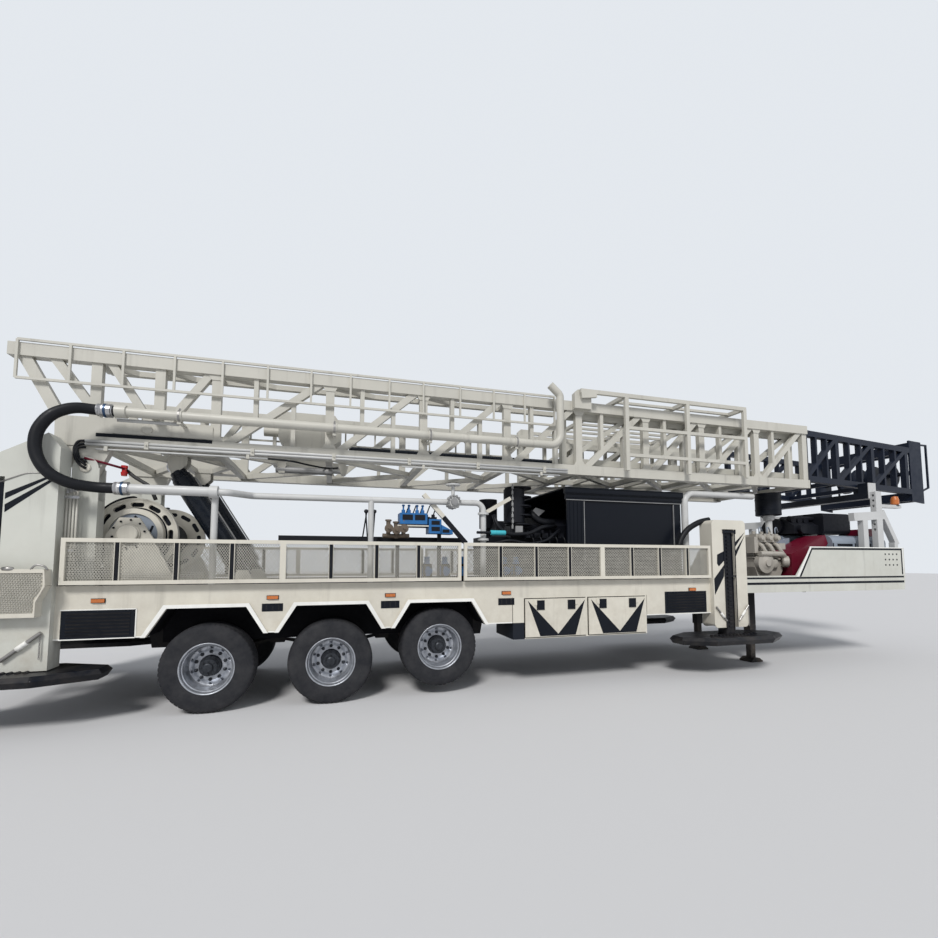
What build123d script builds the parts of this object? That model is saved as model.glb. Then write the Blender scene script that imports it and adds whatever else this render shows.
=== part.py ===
"""Rotary drilling rig on a three-axle semi-trailer, with its telescopic mast laid forward.

The frame is +X forward (towards the gooseneck), +Y to the rig's left and +Z up, in millimetres.
The ground is Z = 0 and the middle of the overall length is X = 0.  Places along the rig are
stations: distances forward of the rearmost axle.
"""
import os
from math import atan2, cos, degrees, hypot, radians, sin

from build123d import *

# Running gear
REAR_AXLE_X = -5085
AXLE_PITCH = 1410
TYRE_OD = 1050
TYRE_FACE_Y = 1250
TYRE_WIDTH = 385
LIFTED_AXLE_RISE = 120
HUB_HEIGHT = TYRE_OD / 2
AXLES = [
    # name, station, hub height
    ("rear", 0, HUB_HEIGHT),
    ("middle", AXLE_PITCH, HUB_HEIGHT),
    ("front", 2 * AXLE_PITCH, HUB_HEIGHT + LIFTED_AXLE_RISE),
]

# Chassis
FRAME_TOP = 1500
BEARER_BOTTOM = 1380
FRAME_BOTTOM = 1020
NECK_BOTTOM = 1270
NECK_STATION = 8050
FRAME_REAR = -2600
FRAME_FRONT = 11750
BEAM_Y = 480
FLANGE_WIDTH = 180
DECK_THICK = 12
DECK_TOP = FRAME_TOP + DECK_THICK
SKIRT_Y = 1300
SKIRT_BOTTOM = 930
SHEET = 12

# Rear jack housings and front jack columns
REAR_HOUSING = (-2670, -1500)
REAR_LEG_STATION = -2085
FRONT_COLUMN = (7270, 7950)
FRONT_LEG_STATION = 7610
COLUMN_FACE_Y = 1380
REAR_COLUMN_INNER_Y = 1140
FRONT_COLUMN_INNER_Y = 1120
SLOT_WIDTH = 210
LEG_WIDTH = 180
LEG_DEPTH = 170
LEG_Y = 1265
PAD_TOP = 620
PAD_THICK = 115
REAR_PAD_HALF_LENGTH = 1095
FRONT_PAD_HALF_LENGTH = 1000

# Walkways that fold out along both sides
WALKWAY_Z = (1535, 2050)
WALKWAY_Y = (1355, 1395)
WALKWAYS = [
    # name, stations of its posts
    ("rear", [-1440, -935, -346, 419, 957, 1482, 2008, 2520, 3080]),
    ("front", [3120, 3650, 4197, 4738, 5269, 5788, 6293, 6818, 7220]),
]

# Tool lockers
LOCKER = (3860, 6060)
LOCKER_Z = (700, 1285)
LOCKER_DOORS = [
    # name, first station, last station
    ("rear", 4040, 5000),
    ("front", 5050, 6030),
]

# Mast
MAST_HINGE = (-1370, 2880)
MAST_HALF_WIDTH = 1100
CHORD = 150
CHORD_DEPTH = 130
WEB_DEPTH = 80
LOWER_CHORD_Z = 3215
UPPER_CHORD_Z = 4225
MAST_FRONT = 9800
MAST_POSTS = [-1335, -674, -47, 1330, 2608, 3878, 5079, 6308, 7426, 8615, 9740]
FLOOR_Z = (3160, 3230)
FLANGE_Y = 720

# Telescoping upper section of the mast
UPPER_HALF_WIDTH = 940
UPPER_REAR = 4850
UPPER_NECK = 9900
UPPER_TIP = 12700
CROWN_REAR = UPPER_TIP + 60
CROWN_FRONT = 13110
UPPER_POSTS = [4890, 6050, 7230, 8420, 9560]
TIP_POSTS = [9950, 10750, 11700, 12660]

# Raising rams
RAM_FOOT = (260, 1640)
RAM_EYE = (-600, 3020)
RAM_Y = 620
RAM_RADIUS = 128
ROD_RADIUS = 65

# Drawworks
DRUM_CENTRE = (-978, 2125)
FLANGE_RADIUS = 468
FLANGE_FACE_Y = 700

os.makedirs("parts", exist_ok=True)


def side(y):
    """Upright plane across Y, whose sketches are drawn in station and height; it faces -Y."""
    return Plane(origin=(REAR_AXLE_X, y, 0), x_dir=(1, 0, 0), z_dir=(0, -1, 0))


def plan(z):
    """Level plane, whose sketches are drawn in station and Y."""
    return Plane(origin=(REAR_AXLE_X, 0, z), x_dir=(1, 0, 0), z_dir=(0, 0, 1))


def section(station):
    """Plane across the rig, whose sketches are drawn in Y and height; it faces forward."""
    return Plane(origin=(REAR_AXLE_X + station, 0, 0), x_dir=(0, 1, 0), z_dir=(1, 0, 0))


def plate(outline, y_low, y_high, mode=Mode.ADD):
    """An upright plate: a station and height outline, thick from y_low to y_high."""
    with BuildSketch(side(y_high)) as face:
        Polygon(*outline, align=None)
    extrude(face.sketch, amount=y_high - y_low, mode=mode)


def slab(outline, z_low, z_high, mode=Mode.ADD):
    """A level plate: a station and Y outline, thick from z_low to z_high."""
    with BuildSketch(plan(z_low)) as face:
        Polygon(*outline, align=None)
    extrude(face.sketch, amount=z_high - z_low, mode=mode)


def run(outline, s_low, s_high, mode=Mode.ADD):
    """A length along the rig: a Y and height outline, from s_low to s_high."""
    with BuildSketch(section(s_low)) as face:
        Polygon(*outline, align=None)
    extrude(face.sketch, amount=s_high - s_low, mode=mode)


def rect(a, b, c, d):
    """Corners of a rectangle from a to b one way and from c to d the other."""
    return [(a, c), (b, c), (b, d), (a, d)]


def bars(rows, y_low, y_high):
    """Flat members of a truss in one upright plane.  Rows: first end, second end, width."""
    with BuildSketch(side(y_high)) as face:
        for (s0, z0), (s1, z1), width in rows:
            with Locations(((s0 + s1) / 2, (z0 + z1) / 2)):
                turn = degrees(atan2(z1 - z0, s1 - s0))
                Rectangle(hypot(s1 - s0, z1 - z0), width, rotation=turn)
    extrude(face.sketch, amount=y_high - y_low)


def disc(station, z, radius, y_low, y_high, mode=Mode.ADD):
    """A round piece whose axis runs across the rig."""
    with BuildSketch(side(y_high)) as face:
        with Locations((station, z)):
            Circle(radius)
    extrude(face.sketch, amount=y_high - y_low, mode=mode)


def round_post(station, y, radius, z_low, z_high, mode=Mode.ADD):
    """A round piece whose axis is upright."""
    with BuildSketch(plan(z_low)) as face:
        with Locations((station, y)):
            Circle(radius)
    extrude(face.sketch, amount=z_high - z_low, mode=mode)


def round_bar(y, z, radius, s_low, s_high, mode=Mode.ADD):
    """A round piece whose axis runs along the rig."""
    with BuildSketch(section(s_low)) as face:
        with Locations((y, z)):
            Circle(radius)
    extrude(face.sketch, amount=s_high - s_low, mode=mode)


def pipe(points, bends, radius):
    """A round pipe through (station, Y, height) points, with one bend radius for each corner."""
    places = [(REAR_AXLE_X + s, y, z) for s, y, z in points]
    with BuildLine() as path:
        if len(places) == 2:
            Line(*places)
        else:
            FilletPolyline(*places, radius=bends)
    with BuildSketch(path.line ^ 0) as ring:
        Circle(radius)
    sweep(ring.sketch, path=path.line)


def finish(piece, name):
    """Label a finished piece and write it."""
    piece.part.label = name
    export_step(piece.part, f"parts/{name}.step")


# Chassis frame: two I-beams that step up at the gooseneck, each with a knee plate at the step
WEB = 14
FLANGE = 18
KNEE = [(7600, FRAME_BOTTOM), (NECK_STATION, FRAME_BOTTOM), (8400, NECK_BOTTOM), (8400, BEARER_BOTTOM),
        (7600, BEARER_BOTTOM)]
with BuildPart() as frame_rails:
    for z_low, s_low, s_high in [(FRAME_BOTTOM, FRAME_REAR, NECK_STATION), (NECK_BOTTOM, NECK_STATION, FRAME_FRONT)]:
        middle = (z_low + BEARER_BOTTOM) / 2
        with BuildSketch(section(s_low)) as beam:
            with Locations((-BEAM_Y, middle), (BEAM_Y, middle)):
                Rectangle(WEB, BEARER_BOTTOM - z_low)
            for z in (z_low + FLANGE / 2, BEARER_BOTTOM - FLANGE / 2):
                with Locations((-BEAM_Y, z), (BEAM_Y, z)):
                    Rectangle(FLANGE_WIDTH, FLANGE)
        extrude(beam.sketch, amount=s_high - s_low)
    for y in (-BEAM_Y, BEAM_Y):
        plate(KNEE, y - 30, y + 30)
finish(frame_rails, "frame_rails")

# Bearers over the beams that carry the deck, and the low beams that tie the jack housings and columns
BEARER_WIDTH = 70
BEARERS = [
    # half length, stations
    (REAR_COLUMN_INNER_Y, [-2500, -1700]),
    (SKIRT_Y - SHEET, [-700, 150, 1000, 1850, 2700, 3700, 4600, 5500, 6400, 7180]),
    (FRONT_COLUMN_INNER_Y, [7575]),
    (SKIRT_Y - SHEET, [8100, 9000, 9900, 10700, 11680]),
]
LOW_BEAMS = [
    # first station, last station, half length, bottom
    (-2230, -1940, REAR_COLUMN_INNER_Y, 760),
    (7540, 7680, FRONT_COLUMN_INNER_Y, 880),
]
with BuildPart() as cross_members:
    for half, stations in BEARERS:
        for station in stations:
            run(rect(-half, half, BEARER_BOTTOM, FRAME_TOP), station, station + BEARER_WIDTH)
    for s_low, s_high, half, z_low in LOW_BEAMS:
        run(rect(-half, half, z_low, FRAME_BOTTOM), s_low, s_high)
finish(cross_members, "cross_members")

# Deck plate, notched around the jack housings and columns
with BuildPart() as deck_plate:
    slab(rect(FRAME_REAR, FRAME_FRONT, -SKIRT_Y + SHEET, SKIRT_Y - SHEET), FRAME_TOP, DECK_TOP)
    for sign in (-1, 1):
        for (s_low, s_high), inner in [(REAR_HOUSING, REAR_COLUMN_INNER_Y), (FRONT_COLUMN, FRONT_COLUMN_INNER_Y)]:
            notch = rect(s_low - 1, s_high + 1, sign * (inner - 1), sign * (SKIRT_Y + 20))
            slab(notch, FRAME_TOP, DECK_TOP, mode=Mode.SUBTRACT)
finish(deck_plate, "deck_plate")

# Side skirts with a trapezoid arch over each wheel, each arch with a proud lip
ARCH_FOOT = 620
ARCH_TOP = 420
ARCH_HEIGHT = 1250
LIP = 42
LIP_PROUD = 38


def arch(station, grow=0.0, z_low=SKIRT_BOTTOM):
    """Outline of one wheel arch, grown outwards by a border."""
    foot = ARCH_FOOT + grow * 1.2
    top = ARCH_TOP + grow * 0.75
    height = ARCH_HEIGHT + grow
    return [(station - foot, z_low), (station - top, height), (station + top, height), (station + foot, z_low)]


with BuildPart() as side_skirts:
    for sign in (-1, 1):
        y_low, y_high = sorted((sign * (SKIRT_Y - SHEET), sign * SKIRT_Y))
        plate(rect(REAR_HOUSING[1], FRONT_COLUMN[0], SKIRT_BOTTOM, FRAME_TOP + 20), y_low, y_high)
        plate(rect(LOCKER[0] - 10, LOCKER[1] + 10, 900, LOCKER_Z[1]), y_low, y_high, mode=Mode.SUBTRACT)
        plate(rect(LOCKER[1], FRONT_COLUMN[0], 900, 970), y_low, y_high, mode=Mode.SUBTRACT)
        for _, station, _ in AXLES:
            plate(arch(station, z_low=SKIRT_BOTTOM - 5), y_low, y_high, mode=Mode.SUBTRACT)
        y_low, y_high = sorted((sign * SKIRT_Y, sign * (SKIRT_Y + LIP_PROUD)))
        for _, station, _ in AXLES:
            with BuildSketch(side(y_high)) as lip:
                Polygon(*arch(station, LIP), align=None)
                Polygon(*arch(station), align=None, mode=Mode.SUBTRACT)
            extrude(lip.sketch, amount=y_high - y_low)
finish(side_skirts, "side_skirts")

# Black bent-plate linings inside the arches
LINER = 8
LINER_INNER_Y = 800
with BuildPart() as arch_liners:
    for sign in (-1, 1):
        y_low, y_high = sorted((sign * LINER_INNER_Y, sign * (SKIRT_Y - SHEET)))
        for _, station, _ in AXLES:
            with BuildSketch(side(y_high)) as lining:
                Polygon(*arch(station, LINER), align=None)
                Polygon(*arch(station), align=None, mode=Mode.SUBTRACT)
            extrude(lining.sketch, amount=y_high - y_low)
finish(arch_liners, "arch_liners")

# Tool lockers under the deck, open to their doors, one on each side
with BuildPart() as locker_boxes:
    for sign in (-1, 1):
        y_low, y_high = sorted((sign * 600, sign * SKIRT_Y))
        plate(rect(*LOCKER, *LOCKER_Z), y_low, y_high)
        y_low, y_high = sorted((sign * 612, sign * (SKIRT_Y + 1)))
        for _, s_low, s_high in LOCKER_DOORS:
            plate(rect(s_low - 12, s_high + 12, LOCKER_Z[0] + 12, LOCKER_Z[1] - 12), y_low, y_high, mode=Mode.SUBTRACT)
finish(locker_boxes, "locker_boxes")

# Locker doors, hinged along their lower edges, each with two latch plates
DOOR_Z = (725, 1262)
DOOR_Y = (1306, 1322)
for name, sign in (("right", -1), ("left", 1)):
    for place, s_low, s_high in LOCKER_DOORS:
        with BuildPart() as locker_door:
            y_low, y_high = sorted(sign * y for y in DOOR_Y)
            plate(rect(s_low, s_high, *DOOR_Z), y_low, y_high)
            y_low, y_high = sorted((sign * DOOR_Y[1], sign * (DOOR_Y[1] + 10)))
            for station in (s_low + 170, s_high - 170):
                plate(rect(station - 38, station + 38, 1170, 1240), y_low, y_high)
        finish(locker_door, f"locker_door_{place}_{name}")

# Gooseneck side panels: a straight beam web with a raised, slant-backed upper panel
NECK_TOP_Z = 2060
with BuildPart() as neck_side_panels:
    outline = [(FRONT_COLUMN[1], 1275), (11770, 1275), (11800, 1560), (11800, NECK_TOP_Z),
               (9490, NECK_TOP_Z), (9100, 1556), (FRONT_COLUMN[1], 1556)]
    for sign in (-1, 1):
        y_low, y_high = sorted((sign * (SKIRT_Y - SHEET), sign * SKIRT_Y))
        plate(outline, y_low, y_high)
        y_low, y_high = sorted((sign * (SKIRT_Y - 44), sign * (SKIRT_Y - SHEET)))
        plate(rect(9490, 11800, NECK_TOP_Z - 10, NECK_TOP_Z), y_low, y_high)
        plate(rect(FRONT_COLUMN[1], 11760, 1275, 1287), y_low, y_high)
finish(neck_side_panels, "neck_side_panels")

# Coupler plate with a 2 inch kingpin
KINGPIN_STATION = 10900
KINGPIN_RADIUS = 25.4
COLLAR_RADIUS = 35.7
COUPLER_Z = (1250, NECK_BOTTOM)
with BuildPart() as kingpin_plate:
    slab(rect(10100, 11700, -560, 560), *COUPLER_Z)
    with BuildSketch(Plane(origin=(REAR_AXLE_X + KINGPIN_STATION, 0, 0), x_dir=(1, 0, 0), z_dir=(0, -1, 0))) as half:
        Polygon((0, 1252), (44, 1252), (44, 1222), (KINGPIN_RADIUS, 1216), (KINGPIN_RADIUS, 1186),
                (COLLAR_RADIUS, 1180), (COLLAR_RADIUS, 1168), (32, 1164), (0, 1164), align=None)
    revolve(half.sketch, axis=Axis((REAR_AXLE_X + KINGPIN_STATION, 0, 0), (0, 0, 1)))
finish(kingpin_plate, "kingpin_plate")

# Landing legs under the gooseneck's root
LEG_STATION = 8750
LANDING_Y = 640
with BuildPart() as landing_legs:
    for sign in (-1, 1):
        y_low, y_high = sorted((sign * (LANDING_Y - 68), sign * (LANDING_Y + 68)))
        plate(rect(LEG_STATION - 68, LEG_STATION + 68, 520, BEARER_BOTTOM - 5), y_low, y_high)
        y_low, y_high = sorted((sign * (LANDING_Y - 52), sign * (LANDING_Y + 52)))
        plate(rect(LEG_STATION - 52, LEG_STATION + 52, 60, 520), y_low, y_high)
        y_low, y_high = sorted((sign * (LANDING_Y - 130), sign * (LANDING_Y + 130)))
        foot = [(-130, 0), (130, 0), (130, 20), (60, 70), (-60, 70), (-130, 20)]
        plate([(LEG_STATION + s, z) for s, z in foot], y_low, y_high)
    disc(LEG_STATION, 800, 25, -LANDING_Y, LANDING_Y)
    y_inner = BEAM_Y + 90
    for sign in (-1, 1):
        y_low, y_high = sorted((sign * y_inner, sign * (y_inner + 10)))
        plate(rect(LEG_STATION - 160, LEG_STATION + 160, NECK_BOTTOM + 5, BEARER_BOTTOM - 5), y_low, y_high)
finish(landing_legs, "landing_legs")

# Axle beams, leaf springs and hangers
SPRING_Y = (435, 525)
with BuildPart() as axles:
    for _, station, hub in AXLES:
        plate(rect(station - 72, station + 72, hub - 72, hub + 72), -897, 897)
        for sign in (-1, 1):
            y_low, y_high = sorted((sign * SPRING_Y[0], sign * SPRING_Y[1]))
            leaf = [(-640, 195), (-330, 125), (-110, 72), (110, 72), (330, 125), (640, 195),
                    (640, 222), (330, 172), (110, 140), (-110, 140), (-330, 172), (-640, 222)]
            plate([(station + s, hub + z) for s, z in leaf], y_low, y_high)
    for station in (-AXLE_PITCH / 2, AXLE_PITCH / 2, AXLE_PITCH * 1.5, AXLE_PITCH * 2.5):
        for sign in (-1, 1):
            y_low, y_high = sorted((sign * (SPRING_Y[0] - 15), sign * (SPRING_Y[1] + 15)))
            hanger = [(-90, 690), (90, 690), (150, FRAME_BOTTOM), (-150, FRAME_BOTTOM)]
            plate([(station + s, z) for s, z in hanger], y_low, y_high)
finish(axles, "axles")


# Wheels: a wide tyre on a deep steel rim with a ten-stud hub, one body each
def wheel(name, station, hub, sign):
    """One wheel, drawn as a section of distance out from the centre line and radius."""
    x = REAR_AXLE_X + station
    radius = TYRE_OD / 2
    outer, inner = TYRE_FACE_Y, TYRE_FACE_Y - TYRE_WIDTH
    across = Plane(origin=(x, 0, hub), x_dir=(0, sign, 0), z_dir=(sign, 0, 0))
    with BuildPart() as body:
        with BuildSketch(across) as tyre:
            with BuildLine():
                ThreePointArc((outer - 18, 292), (outer, 390), (outer - 14, 480))
                Line((outer - 14, 480), (outer - 38, radius))
                Line((outer - 38, radius), (inner + 38, radius))
                Line((inner + 38, radius), (inner + 14, 480))
                ThreePointArc((inner + 14, 480), (inner, 390), (inner + 18, 292))
                Line((inner + 18, 292), (outer - 18, 292))
            make_face()
        spin = Axis((x, 0, hub), (0, 1, 0))
        revolve(tyre.sketch, axis=spin)
        with BuildSketch(across) as rim:
            Polygon((1238, 306), (1238, 290), (1215, 282), (1195, 270), (1088, 262), (1080, 170), (1086, 145),
                    (1120, 140), (1120, 112), (1185, 108), (1192, 90), (1192, 0), (905, 0), (905, 205),
                    (1050, 205), (1060, 270), (900, 272), (885, 282), (878, 290), (878, 306), (893, 306),
                    (900, 292), (1215, 292), (1222, 306), align=None)
        revolve(rim.sketch, axis=spin)
        with BuildSketch(Plane(origin=(x, sign * 1074, hub), x_dir=(1, 0, 0), z_dir=(0, sign, 0))) as studs:
            with PolarLocations(167.5, 10):
                RegularPolygon(radius=17, side_count=6)
        extrude(studs.sketch, amount=38)
    finish(body, name)


for place, station, hub in AXLES:
    for name, sign in (("right", -1), ("left", 1)):
        wheel(f"wheel_{place}_{name}", station, hub, sign)

# Front jack columns: rounded boxes with a slot that shows the leg
COLUMN_WALL = 12
FRONT_COLUMN_Z = (740, 2470)
with BuildPart() as front_jack_columns:
    for sign in (-1, 1):
        inner, outer = FRONT_COLUMN_INNER_Y, COLUMN_FACE_Y
        y_low, y_high = sorted((sign * inner, sign * outer))
        s_mid = FRONT_LEG_STATION
        with BuildSketch(side(y_high)) as shape:
            Polygon(*rect(*FRONT_COLUMN, *FRONT_COLUMN_Z), align=None)
            fillet(shape.vertices().group_by(Axis.Z)[-1], radius=70)
        extrude(shape.sketch, amount=y_high - y_low)
        well = rect(s_mid - 115, s_mid + 115, FRONT_COLUMN_Z[0] - 1, 2400)
        y_low, y_high = sorted((sign * (inner + COLUMN_WALL), sign * (outer - COLUMN_WALL)))
        plate(well, y_low, y_high, mode=Mode.SUBTRACT)
        for s_low, s_high in ((FRONT_COLUMN[0] + COLUMN_WALL, s_mid - 127), (s_mid + 127, FRONT_COLUMN[1] - COLUMN_WALL)):
            plate(rect(s_low, s_high, FRONT_COLUMN_Z[0] - 1, 2390), y_low, y_high, mode=Mode.SUBTRACT)
        slot = rect(s_mid - SLOT_WIDTH / 2, s_mid + SLOT_WIDTH / 2, FRONT_COLUMN_Z[0] - 1, 2320)
        y_low, y_high = sorted((sign * (outer - 20), sign * (outer + 1)))
        plate(slot, y_low, y_high, mode=Mode.SUBTRACT)
finish(front_jack_columns, "front_jack_columns")

# Rear jack housings: taller, with a roof that rises towards the mast hinge
REAR_HOUSING_BOTTOM = 630
HOUSING_ROOF = [(-1500, 3050), (-1620, 3205), (-2670, 2590)]
HOUSING_WELLS = [
    # first station, last station, top
    (-2658, -2212, 2540),
    (-2200, -1970, 2760),
    (-1958, -1512, 2900),
]
with BuildPart() as rear_jack_housings:
    for sign in (-1, 1):
        inner, outer = REAR_COLUMN_INNER_Y, COLUMN_FACE_Y
        s_low, s_high = REAR_HOUSING
        y_low, y_high = sorted((sign * inner, sign * outer))
        plate([(s_low, REAR_HOUSING_BOTTOM), (s_high, REAR_HOUSING_BOTTOM), *HOUSING_ROOF], y_low, y_high)
        y_low, y_high = sorted((sign * (inner + COLUMN_WALL), sign * (outer - COLUMN_WALL)))
        for well_low, well_high, top in HOUSING_WELLS:
            plate(rect(well_low, well_high, REAR_HOUSING_BOTTOM - 1, top), y_low, y_high, mode=Mode.SUBTRACT)
        slot_low, slot_high = REAR_LEG_STATION - SLOT_WIDTH / 2, REAR_LEG_STATION + SLOT_WIDTH / 2
        y_low, y_high = sorted((sign * (outer - 20), sign * (outer + 1)))
        plate(rect(slot_low, slot_high, REAR_HOUSING_BOTTOM - 1, 2700), y_low, y_high, mode=Mode.SUBTRACT)
finish(rear_jack_housings, "rear_jack_housings")

# Jack legs with their eight-sided pads, widest along a ridge between top and underside
PAD_CORNER = 560
PAD_HALF_WIDTH = 390
PAD_RIDGE = 572


def jack(name, station, sign, leg_top, long):
    """One jack leg: a square tube down to a wide pad, whose half length is given, with tapered sides."""
    y = sign * LEG_Y
    with BuildPart() as leg:
        y_low, y_high = y - LEG_DEPTH / 2, y + LEG_DEPTH / 2
        plate(rect(station - LEG_WIDTH / 2, station + LEG_WIDTH / 2, PAD_TOP - 5, leg_top), y_low, y_high)
        short = PAD_HALF_WIDTH
        for up, depth, lean in ((1, PAD_TOP - PAD_RIDGE, 40), (-1, PAD_RIDGE - PAD_TOP + PAD_THICK, 30)):
            ridge = Plane(origin=(REAR_AXLE_X + station, y, PAD_RIDGE), x_dir=(1, 0, 0), z_dir=(0, 0, up))
            with BuildSketch(ridge) as pad:
                Polygon((-long, -140), (-PAD_CORNER, -short), (PAD_CORNER, -short), (long, -140),
                        (long, 140), (PAD_CORNER, short), (-PAD_CORNER, short), (-long, 140), align=None)
            extrude(pad.sketch, amount=depth, taper=lean)
    finish(leg, name)


for name, sign in (("right", -1), ("left", 1)):
    jack(f"jack_front_{name}", FRONT_LEG_STATION, sign, 2300, FRONT_PAD_HALF_LENGTH)
    jack(f"jack_rear_{name}", REAR_LEG_STATION, sign, 2640, REAR_PAD_HALF_LENGTH)

# Walkway panels: rails, posts and a sheet of mesh, folded up against the deck edge
for name, sign in (("right", -1), ("left", 1)):
    for place, posts in WALKWAYS:
        with BuildPart() as walkway:
            y_low, y_high = sorted(sign * y for y in WALKWAY_Y)
            z_low, z_high = WALKWAY_Z
            rows = [((posts[0], z_low + 22), (posts[-1], z_low + 22), 44),
                    ((posts[0], z_high - 20), (posts[-1], z_high - 20), 40)]
            rows += [((s, z_low), (s, z_high), 44) for s in posts[1:-1]]
            rows += [((posts[0] + 22, z_low), (posts[0] + 22, z_high), 44),
                     ((posts[-1] - 22, z_low), (posts[-1] - 22, z_high), 44)]
            bars(rows, y_low, y_high)
            y_mid = sign * sum(WALKWAY_Y) / 2
            plate(rect(posts[0] + 10, posts[-1] - 10, z_low + 10, z_high - 10), y_mid - 3, y_mid + 3)
        finish(walkway, f"walkway_{place}_{name}")

# Pedestal that carries the mast hinge
PEDESTAL = (-1500, -1230)
PEDESTAL_TOP = 2500
LUG_Y = (990, 1090)
with BuildPart() as mast_pedestal:
    for sign in (-1, 1):
        y_low, y_high = sorted((sign * 950, sign * 1130))
        plate(rect(*PEDESTAL, DECK_TOP, PEDESTAL_TOP), y_low, y_high)
        for y_near, y_far in ((950, 975), (1105, 1130)):
            y_low, y_high = sorted((sign * y_near, sign * y_far))
            plate(rect(*PEDESTAL, PEDESTAL_TOP, MAST_HINGE[1]), y_low, y_high)
            disc(*MAST_HINGE, 128, y_low, y_high)
    plate(rect(-1495, -1440, DECK_TOP, 1720), -950, 950)
finish(mast_pedestal, "mast_pedestal")


# Mast sides: trusses with deep chords, posts, diagonals and half posts
def side_truss_rows():
    """Members of one side of the mast between the chords, as ends and widths."""
    low, high = LOWER_CHORD_Z, UPPER_CHORD_Z
    rows = [((s, low), (s, high), 110) for s in MAST_POSTS]
    for s0, s1 in zip(MAST_POSTS[2:-1], MAST_POSTS[3:]):
        rows.append(((s0 + 60, low), (s1 - 60, high), 90))
        third = (s1 - s0) / 3
        rise = (high - low) / 3
        rows.append(((s0 + third, low + rise), (s0 + third, high), 55))
        rows.append(((s1 - third, low), (s1 - third, high - rise), 55))
    rows += [
        ((-2090, high), (-1650, 3420), 120),
        ((-1800, high), (-1335, 3560), 100),
        ((-1230, high), (-720, 3400), 90),
        ((-640, 3400), (-80, high), 90),
        ((-1335, 3390), (-47, 3390), 210),
    ]
    return rows


BOARD_BRACKET = [(4950, 4165), (5240, 4165), (5240, 4400), (5190, 4460), (5010, 4460), (4950, 4400)]
FOOT_PLATE = [(-1480, 2840), (-1640, 2985), (-1705, 3150), (-1715, 3490), (-1300, 3490), (-1120, 3290),
              (-1130, 3140), (-1260, 2840)]
with BuildPart() as mast_sides:
    for sign in (-1, 1):
        y_low, y_high = sorted((sign * (MAST_HALF_WIDTH - CHORD_DEPTH), sign * MAST_HALF_WIDTH))
        bars([((-2200, UPPER_CHORD_Z), (MAST_FRONT, UPPER_CHORD_Z), CHORD),
              ((-1600, LOWER_CHORD_Z), (MAST_FRONT, LOWER_CHORD_Z), CHORD)], y_low, y_high)
        y_low, y_high = sorted((sign * 995, sign * 1075))
        bars(side_truss_rows(), y_low, y_high)
        y_low, y_high = sorted((sign * LUG_Y[0], sign * LUG_Y[1]))
        plate(FOOT_PLATE, y_low, y_high)
        disc(*MAST_HINGE, 118, y_low, y_high)
        y_low, y_high = sorted((sign * MAST_HALF_WIDTH, sign * 1190))
        plate(BOARD_BRACKET, y_low, y_high)
finish(mast_sides, "mast_sides")

# Mast floor: cross struts, K bracing and the brackets for the raising rams
FLOOR_HALF = MAST_HALF_WIDTH - CHORD_DEPTH
with BuildPart() as mast_floor:
    with BuildSketch(plan(FLOOR_Z[0])) as bracing:
        for station in MAST_POSTS:
            with Locations((station, 0)):
                Rectangle(90, 2 * FLOOR_HALF)
        for s0, s1 in zip(MAST_POSTS[:-1], MAST_POSTS[1:]):
            for sign in (-1, 1):
                with Locations(((s0 + s1) / 2, sign * FLOOR_HALF / 2)):
                    turn = degrees(atan2(-sign * FLOOR_HALF, s1 - s0))
                    Rectangle(hypot(s1 - s0, FLOOR_HALF), 75, rotation=turn)
        with Locations((-360, -RAM_Y), (-360, RAM_Y)):
            Rectangle(650, 210)
        with Locations((4200, 0)):
            Rectangle(12200, 2 * FLOOR_HALF, mode=Mode.INTERSECT)
    extrude(bracing.sketch, amount=FLOOR_Z[1] - FLOOR_Z[0])
    for sign in (-1, 1):
        for offset in (-92, 72):
            y_low = sign * RAM_Y + offset
            ear = [(-660, 3165), (-660, 3000), (-620, 2935), (-560, 2935), (-440, 3060), (-440, 3165)]
            plate(ear, y_low, y_low + 20)
finish(mast_floor, "mast_floor")

# Stiffening flanges beside the mast's open top face, behind the upper section
with BuildPart() as mast_top_flanges:
    for sign in (-1, 1):
        with BuildSketch(plan(4150)) as flange:
            y_mid = (FLANGE_Y + FLOOR_HALF) / 2
            with Locations((1740, sign * FLANGE_Y)):
                Rectangle(6150, 70)
            stations = [s for s in MAST_POSTS if s < 4850]
            for station in stations:
                with Locations((station, sign * y_mid)):
                    Rectangle(60, FLOOR_HALF - FLANGE_Y)
            for s0, s1 in zip(stations[:-1], stations[1:]):
                reach = (s1 - s0) / 2
                with Locations((s0 + reach / 2, sign * y_mid)):
                    turn = degrees(atan2(-sign * (FLOOR_HALF - FLANGE_Y), reach))
                    Rectangle(hypot(reach, FLOOR_HALF - FLANGE_Y), 50, rotation=turn)
            with Locations((1700, sign * (FLANGE_Y - 35 + FLOOR_HALF) / 2)):
                Rectangle(6300, FLOOR_HALF - FLANGE_Y + 35, mode=Mode.INTERSECT)
        extrude(flange.sketch, amount=65)
finish(mast_top_flanges, "mast_top_flanges")

# Light rail frames along both top chords
RAIL_RUNGS = [-2100, -1590, -1057, -514, 21, 551, 1086, 1593, 2117, 2595, 3137, 3652, 4146, 4640]
with BuildPart() as side_rail_frames:
    for sign in (-1, 1):
        y_low, y_high = sorted((sign * MAST_HALF_WIDTH, sign * (MAST_HALF_WIDTH + 25)))
        rows = [((RAIL_RUNGS[0], z), (RAIL_RUNGS[-1], z), 28) for z in (3880, 4330)]
        rows += [((s, 3880), (s, 4330), 26) for s in RAIL_RUNGS]
        bars(rows, y_low, y_high)
finish(side_rail_frames, "side_rail_frames")

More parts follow.
